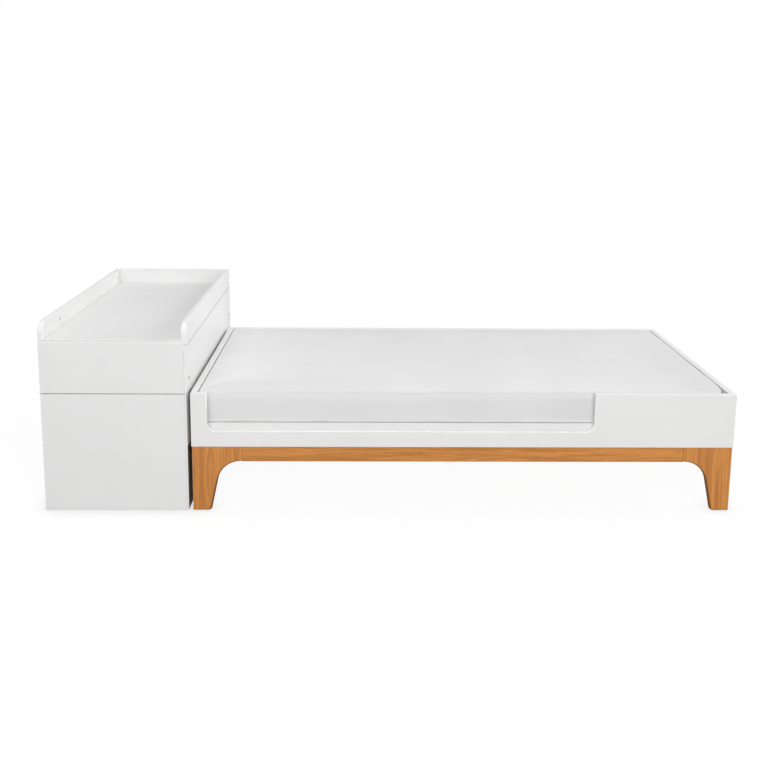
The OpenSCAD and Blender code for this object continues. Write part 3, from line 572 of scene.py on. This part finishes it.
def writeBlank(mesh, along, islands, seed):
    # each solid gets its own place in an imagined log, so that no two boards share their grain
    blank = mesh.attributes.new("blank", "FLOAT_VECTOR", "POINT")
    order = {"x": (0, 1, 2), "y": (1, 0, 2), "z": (2, 0, 1)}[along]
    for count, island in enumerate(islands):
        middle = sum((mesh.vertices[i].co for i in island), Vector()) / len(island)
        slide = Vector((
            logPlace["along"] * math.sin(seed * 7.1 + count * 2.3),
            logPlace["across"] * math.sin(seed * 3.7 + count * 1.9),
            logPlace["depth"] + logPlace["depthChange"] * math.sin(seed * 5.3 + count * 4.1)))
        for i in island:
            near = mesh.vertices[i].co - middle
            blank.data[i].vector = Vector([near[k] for k in order]) + slide


# the pieces of each moving body; all others ride on the frame
bodies = {
    "drawer": ("drawerFront", "drawerInnerFront", "drawerLeftSide", "drawerRightSide",
               "drawerBack", "drawerBottom", "leftRunnerRail", "rightRunnerRail"),
    "door": ("chestDoor", "hingeBushes"), "left_runner_middle": ("leftRunnerMiddle",),
    "right_runner_middle": ("rightRunnerMiddle",), "drawer_latch": ("drawerLatchPlunger",),
    "door_latch": ("doorLatchPlunger",)}
bodyOf = {name: body for body, names in bodies.items() for name in names}
# the CAD node that a piece stands for is its name in small letters, apart from these
nodeOf = {"chestDoor": "door", "chestShelf": "shelf", "trayStretchers": "stretchers"}


def nodeFor(name):
    return nodeOf.get(name, "".join("_" + c.lower() if c.isupper() else c for c in name))


def placeObject(name, data):
    placed = bpy.data.objects.new(name, data)
    scene.collection.objects.link(placed)
    return placed


def smoothFaces(mesh):
    for face in mesh.polygons:
        face.use_smooth = True


def addPiece(name, mesh, material):
    mesh.materials.clear()
    mesh.materials.append(material)
    piece = placeObject(name, mesh)
    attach(piece, bodyOf.get(name, "frame"))
    return piece


def dressBoard(name, material, radius, steps=3, shortest=0.0012, along=None, seed=0, joint=None,
               shape=None, rounding=None):
    # a wooden board names the axis its grain runs along
    work = mergedCopy(nodeFor(name))
    markBores(work)
    work.normal_update()
    if along:
        markCuts(work)
    if shape:
        shape(work)
    done = rounding(work, steps) if rounding else ()
    roundEdges(work, radius, steps, shortest, joint, done)
    mesh = bpy.data.meshes.new(name)
    islands = indexIslands(work) if along else []
    work.to_mesh(mesh)
    work.free()
    mesh.set_sharp_from_angle(angle=math.radians(50))
    if along:
        writeBlank(mesh, along, islands, seed)
    piece = addPiece(name, mesh, material)
    smoothFaces(mesh)
    even = piece.modifiers.new("evenNormals", "WEIGHTED_NORMAL")
    even.keep_sharp = True
    even.weight = 100
    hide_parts(nodeFor(name))


# each board's edge radius
lacqueredBoards = {
    "frontRail": 0.0016, "backRail": 0.0016, "leftEndPanel": 0.0012, "rightEndPanel": 0.0012,
    "frontLedger": 0.001, "backLedger": 0.001, "chestLeftSide": 0.0008,
    "chestRightSide": 0.0008, "chestBottom": 0.0005, "chestDivider": 0.0005,
    "trayStretchers": 0.0005, "chestShelf": 0.0008, "trayFloor": 0.0008, "trayLeftWall": 0.002,
    "trayRightWall": 0.002, "trayBackWall": 0.0012, "drawerFront": 0.001, "chestDoor": 0.001,
    "cornerPosts": 0.0015}
# these boards take the darker lacquer as painted shade
shadedBoards = ("trayFloor", "frontLedger")
boardRoundings = {"frontRail": roundCutOut}
boardShapes = {"chestLeftSide": bandFront, "chestRightSide": shapeBedSide}
# dust settles in the joint between the chest's sides and the tray's walls
sideLow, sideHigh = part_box("chest_right_side")
traySeam = Vector((0, sideLow.y + 0.0005, sideHigh.z))
for name, radius in lacqueredBoards.items():
    dressBoard(name, shadedLacquer if name in shadedBoards else whiteLacquer, radius,
               joint=traySeam, shape=boardShapes.get(name), rounding=boardRoundings.get(name))

foilBoards = ("chestBack", "drawerInnerFront", "drawerLeftSide", "drawerRightSide",
              "drawerBack", "drawerBottom")
for name in foilBoards:
    dressBoard(name, foilWhite, radius=0.0004, steps=2)
print("white boards made")

# the axis of the grain and the seed of each oak board
oakBoards = {
    "frontLeftLeg": ("z", 1), "frontRightLeg": ("z", 2), "backLeftLeg": ("z", 3),
    "backRightLeg": ("z", 4), "frontApron": ("x", 5), "backApron": ("x", 6),
    "leftApron": ("y", 7), "rightApron": ("y", 8)}
for name, (along, seed) in oakBoards.items():
    dressBoard(name, oakOiled, radius=0.0012, shortest=0.0008, along=along, seed=seed,
               rounding=roundLegs if name in ("frontLeftLeg", "frontRightLeg") else None)

rawBoards = {"centreBeam": ("x", 12), "centreLeg": ("z", 13)}
for name, (along, seed) in rawBoards.items():
    dressBoard(name, birchRaw, radius=0.0015, steps=2, along=along, seed=seed)
print("wooden boards made")


# geometry node trees for what repeats

def newGrower(name, inputs):
    return newTree(name, "Geometry", [("Geometry", "Geometry", None), *inputs],
                   [("Geometry", "Geometry")])


def joinAxes(tree, parts):
    # a vector from the axes that are named by number; the others stay at zero
    return wire(tree, "ShaderNodeCombineXYZ", parts)


def moved(tree, part, shift):
    return wire(tree, "GeometryNodeTransform", {"Geometry": part, "Translation": shift})


def finishTree(tree, out, part, material):
    # the export needs real geometry with its material on it
    plain = wire(tree, "GeometryNodeRealizeInstances", {"Geometry": part})
    painted = wire(tree, "GeometryNodeSetMaterial", {"Geometry": plain, "Material": material})
    fill(tree, out, {0: painted})
    return tree


def growMesh(name, mesh, tree, values):
    # runs a tree on a carrier mesh and returns the plain result
    carrier = placeObject(name, mesh)
    grower = carrier.modifiers.new("grow", "NODES")
    grower.node_group = tree
    for item in tree.interface.items_tree:
        if item.item_type == "SOCKET" and item.in_out == "INPUT" and item.name in values:
            grower[item.identifier] = values[item.name]
    bpy.context.view_layer.update()
    view = bpy.context.evaluated_depsgraph_get()
    grown = bpy.data.meshes.new_from_object(carrier.evaluated_get(view), depsgraph=view)
    bpy.data.objects.remove(carrier)
    grown.name = name
    return grown


def makeSlatTree():
    tree, given, out = newGrower("slatRow", [
        ("Count", "Int", 15), ("Start", "Vector", (0, 0, 0)), ("Pitch", "Float", 0.12),
        ("Length", "Float", 0.87), ("Width", "Float", 0.07), ("Thickness", "Float", 0.018),
        ("Edge Radius", "Float", 0.004), ("Seed", "Int", 3), ("Material", "Material", None)])
    row = wire(tree, "GeometryNodeMeshLine", {
        "Count": given["Count"], "Start Location": given["Start"],
        "Offset": joinAxes(tree, {0: given["Pitch"]})}, mode="OFFSET")
    spine = wire(tree, "GeometryNodeCurvePrimitiveLine", {
        "End": joinAxes(tree, {1: given["Length"]})})
    upright = wire(tree, "GeometryNodeSetCurveNormal", {"Curve": spine}, mode="Z_UP")
    profile = wire(tree, "GeometryNodeCurvePrimitiveQuadrilateral", {
        "Width": given["Width"], "Height": given["Thickness"]})
    softened = wire(tree, "GeometryNodeFilletCurve", {
        "Curve": profile, "Radius": given["Edge Radius"], "Count": 3}, mode="POLY")
    slat = wire(tree, "GeometryNodeCurveToMesh", {
        "Curve": upright, "Profile Curve": softened, "Fill Caps": True})
    laid = wire(tree, "GeometryNodeInstanceOnPoints", {"Points": row, "Instance": slat})
    chance = wire(tree, "FunctionNodeRandomValue", {"Seed": given["Seed"]}, data_type="FLOAT")
    marked = wire(tree, "GeometryNodeStoreNamedAttribute", {
        "Geometry": laid, "Name": "draw", "Value": chance.outputs[1]},
        data_type="FLOAT", domain="INSTANCE")
    return finishTree(tree, out, marked, given["Material"])


def makeScrewTree():
    # one screw for each vertex of a carrier that stores its direction and reach
    tree, given, out = newGrower("screwSet", [
        ("Head Diameter", "Float", 0.012), ("Head Height", "Float", 0.0035),
        ("Shank Diameter", "Float", 0.006), ("Drive Size", "Float", 0.005),
        ("Drive Depth", "Float", 0.002), ("Hex", "Bool", True), ("Sides", "Int", 20),
        ("Material", "Material", None)])
    height, drive = given["Head Height"], given["Drive Size"]
    aim = wire(tree, "GeometryNodeInputNamedAttribute", {"Name": "aim"}, data_type="FLOAT_VECTOR")
    reach = wire(tree, "GeometryNodeInputNamedAttribute", {"Name": "reach"}, data_type="FLOAT")
    turn = wire(tree, "FunctionNodeAlignRotationToVector", {"Vector": aim}, axis="Z")
    headRadius = calc(tree, "MULTIPLY", given["Head Diameter"], 0.5)
    head = wire(tree, "GeometryNodeMeshCylinder", {
        "Vertices": given["Sides"], "Radius": headRadius, "Depth": height})
    halfHead = calc(tree, "MULTIPLY", height, 0.5)
    raised = moved(tree, head, joinAxes(tree, {2: halfHead}))
    driveDepth = calc(tree, "MULTIPLY", given["Drive Depth"], 2.0)
    hexRadius = calc(tree, "MULTIPLY", drive, 0.577)  # from the key's size to its corners
    hexTool = wire(tree, "GeometryNodeMeshCylinder", {
        "Vertices": 6, "Radius": hexRadius, "Depth": driveDepth})
    blade = calc(tree, "MULTIPLY", drive, 0.24)  # a cross drive's blades are this thick
    cross = wire(tree, "GeometryNodeMeshBoolean", operation="UNION")
    for long, wide in ((drive, blade), (blade, drive)):
        size = joinAxes(tree, {0: long, 1: wide, 2: driveDepth})
        fill(tree, cross, {"Mesh 2": wire(tree, "GeometryNodeMeshCube", {"Size": size})})
    tool = wire(tree, "GeometryNodeSwitch", {
        "Switch": given["Hex"], "False": cross, "True": hexTool}, input_type="GEOMETRY")
    toolUp = moved(tree, tool, joinAxes(tree, {2: height}))
    driven = wire(tree, "GeometryNodeMeshBoolean", {"Mesh 1": raised, "Mesh 2": toolUp},
                  operation="DIFFERENCE")
    heads = wire(tree, "GeometryNodeInstanceOnPoints", {
        "Points": given["Geometry"], "Instance": driven, "Rotation": turn})
    shankRadius = calc(tree, "MULTIPLY", given["Shank Diameter"], 0.5)
    shank = wire(tree, "GeometryNodeMeshCylinder", {
        "Vertices": 12, "Radius": shankRadius, "Depth": 1.0})
    shanks = wire(tree, "GeometryNodeInstanceOnPoints", {
        "Points": given["Geometry"], "Instance": moved(tree, shank, (0, 0, -0.5)),
        "Rotation": turn, "Scale": joinAxes(tree, {0: 1.0, 1: 1.0, 2: reach})})
    both = wire(tree, "GeometryNodeJoinGeometry")
    for part in (heads, shanks):
        fill(tree, both, {0: part})
    return finishTree(tree, out, both, given["Material"])


slatTree = makeSlatTree()
screwTree = makeScrewTree()

# sprung slats: rounded edges, each cut from its own board
slatRow = {"count": 15, "width": 0.07, "edgeRadius": 0.004, "seed": 3, "grainSeed": 21}
slatLow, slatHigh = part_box("slats")
slatSize = slatHigh - slatLow
slatMesh = growMesh("slatRow", bpy.data.meshes.new("slatCarrier"), slatTree, {
    "Count": slatRow["count"], "Width": slatRow["width"], "Length": slatSize.y,
    "Pitch": (slatSize.x - slatRow["width"]) / (slatRow["count"] - 1),
    "Start": (slatLow.x + slatRow["width"] / 2, slatLow.y, (slatLow.z + slatHigh.z) / 2),
    "Thickness": slatSize.z, "Edge Radius": slatRow["edgeRadius"], "Seed": slatRow["seed"],
    "Material": birchRaw})
smoothFaces(slatMesh)
slatMesh.set_sharp_from_angle(angle=math.radians(40))
slatWork = bmesh.new()
slatWork.from_mesh(slatMesh)
writeBlank(slatMesh, "y", indexIslands(slatWork), slatRow["grainSeed"])
slatWork.free()
slats = addPiece("slatRow", slatMesh, birchRaw)
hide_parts("slats")


def screwsOf(nodeName):
    # reads each screw of a CAD node: its middle, which way its head faces, and its length
    work = mergedCopy(nodeName)
    screws = []
    for island in islandsOf(work):
        low = Vector([min(vert.co[k] for vert in island) for k in range(3)])
        high = Vector([max(vert.co[k] for vert in island) for k in range(3)])
        middle, size = (low + high) / 2, high - low
        axis = max(range(3), key=lambda k: size[k])
        widths = {}
        for end, value in ((-1, low[axis]), (1, high[axis])):
            cap = [vert.co - middle for vert in island if abs(vert.co[axis] - value) < 0.0001]
            for spoke in cap:
                spoke[axis] = 0
            widths[end] = max(spoke.length for spoke in cap)
        end = max(widths, key=widths.get)
        screws.append((middle, Vector([end if k == axis else 0 for k in range(3)]), size[axis]))
    work.free()
    return screws


def screwCarrier(name, headHeight):
    # one vertex for each screw, under its head
    screws = screwsOf(nodeFor(name))
    mesh = bpy.data.meshes.new(name)
    mesh.from_pydata([middle + aim * (length / 2 - headHeight) for middle, aim, length in screws],
                     [], [])
    aims = mesh.attributes.new("aim", "FLOAT_VECTOR", "POINT")
    for i, (middle, aim, length) in enumerate(screws):
        aims.data[i].vector = aim
    reaches = mesh.attributes.new("reach", "FLOAT", "POINT")
    for i, (middle, aim, length) in enumerate(screws):
        reaches.data[i].value = length - headHeight
    return mesh


woodScrew = {"Head Diameter": 0.008, "Head Height": 0.002, "Shank Diameter": 0.004,
             "Drive Size": 0.0045, "Hex": False}
screwSets = {
    "frameScrews": {"Head Diameter": 0.012, "Head Height": 0.0035, "Shank Diameter": 0.006,
                    "Drive Size": 0.005, "Hex": True},
    "plateScrews": woodScrew, "trayScrews": woodScrew,
    "hingeScrews": {"Head Diameter": 0.006, "Head Height": 0.0009, "Shank Diameter": 0.0034,
                    "Drive Size": 0.0035, "Hex": False}}
driveShare = 0.6  # of the head's height
for name, look in screwSets.items():
    mesh = growMesh(name, screwCarrier(name, look["Head Height"]), screwTree, {
        **look, "Drive Depth": look["Head Height"] * driveShare, "Material": zincPlate})
    piece = addPiece(name, mesh, zincPlate)
    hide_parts(nodeFor(name))
print("slats and screws grown")


# hardware keeps its CAD shape; each piece has its finish and the radius of its eased edges

hardware = {
    "beamHangers": (rolledSteel, 0.0004), "joiningPlates": (rolledSteel, 0.0004),
    "linkBolts": (rolledSteel, 0.0004), "hingeLeaves": (rolledSteel, 0.0002),
    "runnerChannels": (rolledSteel, 0.0002), "leftRunnerMiddle": (rolledSteel, 0.0002),
    "rightRunnerMiddle": (rolledSteel, 0.0002), "leftRunnerRail": (rolledSteel, 0.0002),
    "rightRunnerRail": (rolledSteel, 0.0002), "footGlides": (nylonWhite, 0.0005),
    "linkSpacers": (nylonWhite, 0.0005), "hingeBushes": (nylonWhite, 0.0002),
    "latchHousings": (nylonWhite, 0.0008), "drawerLatchPlunger": (nylonWhite, 0.0006),
    "doorLatchPlunger": (nylonWhite, 0.0006), "camLocks": (zincPlate, 0.0003),
    "camPins": (rolledSteel, 0.0003), "shelfPins": (rolledSteel, 0.0004)}
for name, (material, radius) in hardware.items():
    dressBoard(name, material, radius, steps=2, shortest=0.0002)
print("hardware dressed")


# mattress in its fitted cover

mattressLook = {
    "cell": 0.018, "edgeSteps": (0.0025, 0.0055, 0.009, 0.014, 0.022), "cornerRadius": 0.02,
    "looseCorner": (0.036, 0.11), "topRadius": 0.0038, "bottomRadius": 0.008,
    "frontRoll": 0.02, "openEdge": (-0.658, 0.742), "openFade": 0.08, "crown": 0.01,
    "crownReach": 0.1, "spread": (0.0067, 0.0046)}
clothLook = {
    "quality": 6, "mass": 0.25, "tension_stiffness": 20, "compression_stiffness": 12,
    "shear_stiffness": 5, "bending_stiffness": 0.4, "vertex_group_mass": "resting",
    "use_pressure": True, "uniform_pressure_force": 4.0}
swelling = {"frames": 18, "cap": 0.003, "restingHeight": 0.006}
bedLow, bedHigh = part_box("mattress")
bedSize = bedHigh - bedLow


def spreadSteps(length, look):
    # fine steps near both ends and even cells between them
    fine = look["edgeSteps"]
    middle = length - 2 * fine[-1]
    count = max(1, math.ceil(middle / look["cell"]))
    even = [fine[-1] + middle * i / count for i in range(count + 1)]
    return [0.0, *fine[:-1], *even, *[length - step for step in reversed(fine[:-1])], length]


def arcShift(first, second, radius):
    # the square corner between two insets becomes an arc of this radius
    across, down = radius - first, radius - second
    if across <= 0 or down <= 0:
        return first, second
    fit = max(across, down) / math.hypot(across, down)
    return radius - across * fit, radius - down * fit


def padPoint(at, size, look):
    inset = [min(at[k], size[k] - at[k]) for k in range(3)]
    radius, shape = look["cornerRadius"], (1.0, 1.0)
    if at[0] > size[0] / 2 and at[1] < size[1] / 2:
        shape = [reach / radius for reach in look["looseCorner"]]
    bent = arcShift(inset[0] / shape[0], inset[1] / shape[1], radius)
    inset[0], inset[1] = bent[0] * shape[0], bent[1] * shape[1]
    near = Vector((max(0.0, radius - bent[0]), max(0.0, radius - bent[1])))
    if near.x > 0 and near.y > 0:
        edge, inward = (radius - near.length) * min(shape), near.normalized()
    elif inset[0] < inset[1]:
        edge, inward = inset[0], Vector((1, 0))
    else:
        edge, inward = inset[1], Vector((0, 1))
    upper = at[2] > size[2] / 2
    roll = look["topRadius" if upper else "bottomRadius"]
    if upper and at[1] < size[1] / 2 and inward.y > 0.9:
        # where the rail is cut out, the cover's front edge rolls over more softly
        x = bedLow.x + at[0]
        inside = min(x - look["openEdge"][0], look["openEdge"][1] - x) / look["openFade"]
        roll += (look["frontRoll"] - roll) * min(1.0, max(0.0, 1 + inside))
    shifted, inset[2] = arcShift(edge, inset[2], roll)
    inset[0] += inward.x * (shifted - edge)
    inset[1] += inward.y * (shifted - edge)
    spot = Vector([inset[k] if at[k] <= size[k] / 2 else size[k] - inset[k] for k in range(3)])
    spot.z += look["crown"] * (1 - math.exp(-shifted / look["crownReach"])) * at[2] / size[2]
    return spot


def roundedPad(look):
    # a box of quads with rounded corners and edges; the cover all but touches the boards
    reach = Vector((*look["spread"], 0))
    low = bedLow - reach
    size = bedHigh - bedLow + 2 * reach - Vector((0, 0, look["crown"]))
    steps = [spreadSteps(size[k], look) for k in range(3)]
    points, known, faces = [], {}, []

    def corner(at):
        if at not in known:
            known[at] = len(points)
            points.append(padPoint([steps[k][at[k]] for k in range(3)], size, look) + low)
        return known[at]

    for axis in range(3):
        first, second = [k for k in range(3) if k != axis]
        for end in (0, len(steps[axis]) - 1):
            for i in range(len(steps[first]) - 1):
                for j in range(len(steps[second]) - 1):
                    quad = []
                    for u, v in ((i, j), (i + 1, j), (i + 1, j + 1), (i, j + 1)):
                        at = {axis: end, first: u, second: v}
                        quad.append(corner((at[0], at[1], at[2])))
                    faces.append(quad)
    work = bmesh.new()
    mesh = bpy.data.meshes.new("mattressCover")
    mesh.from_pydata(points, [], faces)
    work.from_mesh(mesh)
    bmesh.ops.recalc_face_normals(work, faces=work.faces)
    work.to_mesh(mesh)
    work.free()
    return mesh


def swellCover(mesh, look):
    # pressure fills the cover; the underside is held where it lies on the slats
    body = placeObject("mattressCloth", mesh)
    resting = body.vertex_groups.new(name="resting")
    held = [v.index for v in mesh.vertices if v.co.z < bedLow.z + look["restingHeight"]]
    resting.add(held, 1.0, "REPLACE")
    cloth = body.modifiers.new("swell", "CLOTH")
    for key, value in clothLook.items():
        setattr(cloth.settings, key, value)
    cloth.settings.effector_weights.gravity = 0
    cloth.collision_settings.use_collision = False
    cloth.point_cache.frame_start = 1
    cloth.point_cache.frame_end = look["frames"]
    for count in range(1, look["frames"] + 1):
        scene.frame_set(count)
    view = bpy.context.evaluated_depsgraph_get()
    goals = [v.co.copy() for v in body.evaluated_get(view).data.vertices]
    for vert, goal in zip(mesh.vertices, goals):
        step = goal - vert.co
        if step.length > look["cap"]:
            step *= look["cap"] / step.length
        vert.co += step
    scene.frame_set(1)
    bpy.data.objects.remove(body)


# how strongly and how far each painted shade of the cover reaches
coverShade = {
    "side": 0.17, "upper": 0.26, "upperFrom": 0.55, "ends": 0.16, "endsReach": 0.05,
    "dent": 0.14, "cutEndReach": 0.09, "under": 0.36, "underNoise": 0.4, "underTop": 0.13,
    "rolled": 2.7, "leftward": 0.35, "right": 0.16, "rightFront": 0.1, "rightReach": 0.09,
    "rightFrontReach": 0.13}
coverFolds = {
    "hemWave": 0.0034, "sideFold": 0.0012, "cornerPleat": 0.0024, "pleatReach": 0.16,
    "topDrag": 0.0011, "dragReach": 0.42, "calm": 0.0006, "flatHeight": 0.004}


def shadeOf(at, normal, up, side, look):
    # painted shade in the cover's colour: on the sides, lighter towards the top; under the bottom
    # edge; towards the cut-out's ends, most at its right end; on the rolled front edge; on the
    # front slope of the top towards the left; and on the top towards the mattress's right end
    ends = min(abs(at.x - x) for x in mattressLook["openEdge"])
    dent = math.exp(-abs(at.x - mattressLook["openEdge"][1]) / look["cutEndReach"])
    low = max(0.0, 1 - up / look["underTop"])
    under = low * (look["under"] + look["underNoise"] * noise.noise(at * 14))
    shade = look["side"] - look["upper"] * max(0.0, up - look["upperFrom"])
    shade += look["ends"] * (1 - up) * math.exp(-ends / look["endsReach"])
    level = max(0.0, normal.z)
    rolled = look["rolled"] * level ** 2 * (1 - level) if normal.y < -0.15 else 0
    leftward = (bedHigh.x - at.x) / bedSize.x
    sloped = look["leftward"] * leftward ** 4 * min(1.0, max(0.0, -normal.y) / 0.08) * level
    forward = (bedHigh.y - at.y) / bedSize.y
    reach = (bedHigh.x - at.x) / (look["rightReach"] + look["rightFrontReach"] * forward)
    right = (look["right"] + look["rightFront"] * forward) * math.exp(-reach ** 2) * level
    return max(side * (shade + look["dent"] * dent), under, rolled, sloped, right)


def foldOf(at, normal, up, side, near, look):
    # hem, drag folds and corner pleats that a pulled cover shows
    wave = noise.noise(at * 11) * look["hemWave"] * max(0.0, 1 - up * 3.2)
    drag = noise.noise(Vector((at.x * 5, at.y * 5, at.z * 42))) * look["sideFold"]
    pleat = noise.noise(Vector((at.x * 38, at.y * 38, at.z * 7))) * look["cornerPleat"]
    pleat *= max(0.0, 1 - near / look["pleatReach"]) * (0.35 + 0.65 * (1 - up))
    topDrag = noise.noise(Vector((at.x * 7 + at.y * 9, at.x * 2.2, 3.1))) * look["topDrag"]
    topDrag *= max(0.0, 1 - near / look["dragReach"]) * max(0.0, normal.z)
    calm = noise.noise(at * 3.3) * look["calm"]
    return side * (wave + drag + pleat) + topDrag + calm * (1 - side)


def foldCover(mesh):
    mesh.update()
    normals = [vert.normal.copy() for vert in mesh.vertices]
    hem = mesh.attributes.new("hem", "FLOAT", "POINT")
    corners = [Vector((x, y, 0)) for x in (bedLow.x, bedHigh.x) for y in (bedLow.y, bedHigh.y)]
    for vert, normal in zip(mesh.vertices, normals):
        at = vert.co.copy()
        up = (at.z - bedLow.z) / bedSize.z
        side = 1 - min(1.0, abs(normal.z) * 1.6)
        near = min((Vector((at.x, at.y, 0)) - corner).length for corner in corners)
        # the painted shade value that the cover's colour reads
        hem.data[vert.index].value = shadeOf(at, normal, up, side, coverShade)
        if at.z >= bedLow.z + coverFolds["flatHeight"]:
            vert.co += normal * foldOf(at, normal, up, side, near, coverFolds)
    reach = mattressLook["spread"]
    for vert in mesh.vertices:
        vert.co.x = min(max(vert.co.x, bedLow.x - reach[0]), bedHigh.x + reach[0])
        vert.co.y = min(max(vert.co.y, bedLow.y - reach[1]), bedHigh.y + reach[1])
        vert.co.z = max(vert.co.z, bedLow.z + 0.0002)


mattressMesh = roundedPad(mattressLook)
print("mattress cells:", len(mattressMesh.polygons))
swellCover(mattressMesh, swelling)
foldCover(mattressMesh)
smoothFaces(mattressMesh)
mattress = addPiece("mattressCover", mattressMesh, cottonCover)
finer = mattress.modifiers.new("finer", "SUBSURF")
finer.levels = 1
finer.render_levels = 1
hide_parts("mattress")
print("mattress made")


# floor, light and camera

floorLook = {
    "reach": 40, "bounce": (0.57, 0.57, 0.57), "seen": (0.97, 0.97, 0.97),
    "shadeReach": 0.1, "shade": 0.68, "stretch": (0.75, 1.0, 0.0), "glow": 0.95,
    "glowFrom": 1.0, "glowFull": 2.4}
studioDaylight = 0.2


def seenDirectly(tree):
    # 1 for what the camera sees itself, mirrored or through glass, and 0 for what lights the piece
    path = wire(tree, "ShaderNodeLightPath").outputs
    other = calc(tree, "MAXIMUM", path["Is Glossy Ray"], path["Is Transmission Ray"])
    return calc(tree, "MAXIMUM", path["Is Camera Ray"], other)


def makeFloor(look):
    # the paper is white to the camera, keeps the pieces' shadow faintly through its small matt
    # share and a painted shade at the feet where an occlusion test dims its glow, and reflects
    # little light
    reach = look["reach"]
    mesh = bpy.data.meshes.new("studioFloor")
    mesh.from_pydata([(x * reach, y * reach, 0) for x, y in ((-1, -1), (1, -1), (1, 1), (-1, 1))],
                     [], [(0, 1, 2, 3)])
    floor = placeObject("studioFloor", mesh)
    material, tree = emptyMaterial("palePaper")
    # the glow dims near the pieces: painted shade at the feet
    nook = wire(tree, "ShaderNodeAmbientOcclusion", {"Distance": look["shadeReach"]},
                samples=8)
    light = remap(tree, nook.outputs["AO"], 0.0, 0.85, look["shade"], 1.0)
    glow = wire(tree, "ShaderNodeEmission", {"Color": (1, 1, 1, 1), "Strength": light})
    seen = seenDirectly(tree)
    away = lengthOf(tree, stretch(tree, objectPlace(tree), look["stretch"]))
    full = remap(tree, away, look["glowFrom"], look["glowFull"], look["glow"], 1.0)
    paper = blendColor(tree, seen, look["bounce"], look["seen"])
    matt = wire(tree, "ShaderNodeBsdfDiffuse", {"Color": paper})
    mixed = wire(tree, "ShaderNodeMixShader", {
        0: calc(tree, "MULTIPLY", seen, full), 1: matt, 2: glow})
    wire(tree, "ShaderNodeOutputMaterial", {0: mixed})
    mesh.materials.append(material)


def makeWorld(daylight):
    world = bpy.data.worlds.new("studioRoom")
    scene.world = world
    world.use_nodes = True
    tree = world.node_tree
    tree.nodes.clear()
    strength = remap(tree, seenDirectly(tree), 0.0, 1.0, daylight, 1.0)
    back = wire(tree, "ShaderNodeBackground", {"Color": (1, 1, 1, 1), "Strength": strength})
    wire(tree, "ShaderNodeOutputWorld", {0: back})


def addLamp(name, at, aim, size, power):
    lamp = bpy.data.lights.new(name, "AREA")
    lamp.shape = "RECTANGLE"
    lamp.size, lamp.size_y = size
    lamp.energy = power
    holder = placeObject(name, lamp)
    holder.location = at
    holder.rotation_euler = (Vector(aim) - Vector(at)).to_track_quat("-Z", "Y").to_euler()


makeFloor(floorLook)
makeWorld(studioDaylight)
lampAim = (0, 0, 0.4)
# where each lamp hangs, its size and its power
lamps = {
    "farRightSoftbox": ((11.5, 2.1, 5.3), (6.0, 5.0), 340),
    "rightBackSoftbox": ((6.5, 1.2, 3.2), (3.5, 3.0), 170),
    "frontRightSoftbox": ((1.9, -5.6, 2.4), (2.5, 2.5), 110),
    "leftFrontSoftbox": ((-3.0, -6.0, 2.6), (4.0, 3.0), 98),
    "highFrontSoftbox": ((-0.5, -4.0, 4.5), (4.0, 3.0), 50),
    "topSoftbox": ((-1.3, -0.6, 5.0), (4.0, 3.5), 76)}
for name, (at, size, power) in lamps.items():
    addLamp(name, at, lampAim, size, power)

viewPoint = {"at": (-0.0998, -3.6397, 1.4797), "yaw": -0.02, "pitch": 0.1618, "roll": 0.0096,
             "focalPixels": 901.4, "centre": (381.2, 248.78), "frame": 768}


def makeCamera(view):
    # the fit to the photograph's edges gives the place, the turn and the lens shift
    data = bpy.data.cameras.new("photoCamera")
    camera = bpy.data.objects.new("photoCamera", data)
    scene.collection.objects.link(camera)
    along = Vector((math.cos(view["yaw"]), math.sin(view["yaw"]), 0))
    ahead = Vector((-math.sin(view["yaw"]), math.cos(view["yaw"]), 0))
    up = Vector((0, 0, 1))
    forward = math.cos(view["pitch"]) * ahead - math.sin(view["pitch"]) * up
    above = math.sin(view["pitch"]) * ahead + math.cos(view["pitch"]) * up
    right = math.cos(view["roll"]) * along + math.sin(view["roll"]) * above
    top = -math.sin(view["roll"]) * along + math.cos(view["roll"]) * above
    turn = Matrix((right, top, -forward)).transposed().to_4x4()
    camera.matrix_world = Matrix.Translation(view["at"]) @ turn
    data.sensor_width = 36
    data.lens = view["focalPixels"] / view["frame"] * 36
    data.shift_x = (view["frame"] / 2 - view["centre"][0]) / view["frame"]
    data.shift_y = (view["centre"][1] - view["frame"] / 2) / view["frame"]
    data.clip_start = 0.05
    data.clip_end = 200
    scene.camera = camera


makeCamera(viewPoint)
scene.view_settings.view_transform = "Standard"
bpy.context.view_layer.update()
print("stage, lamps and camera set")
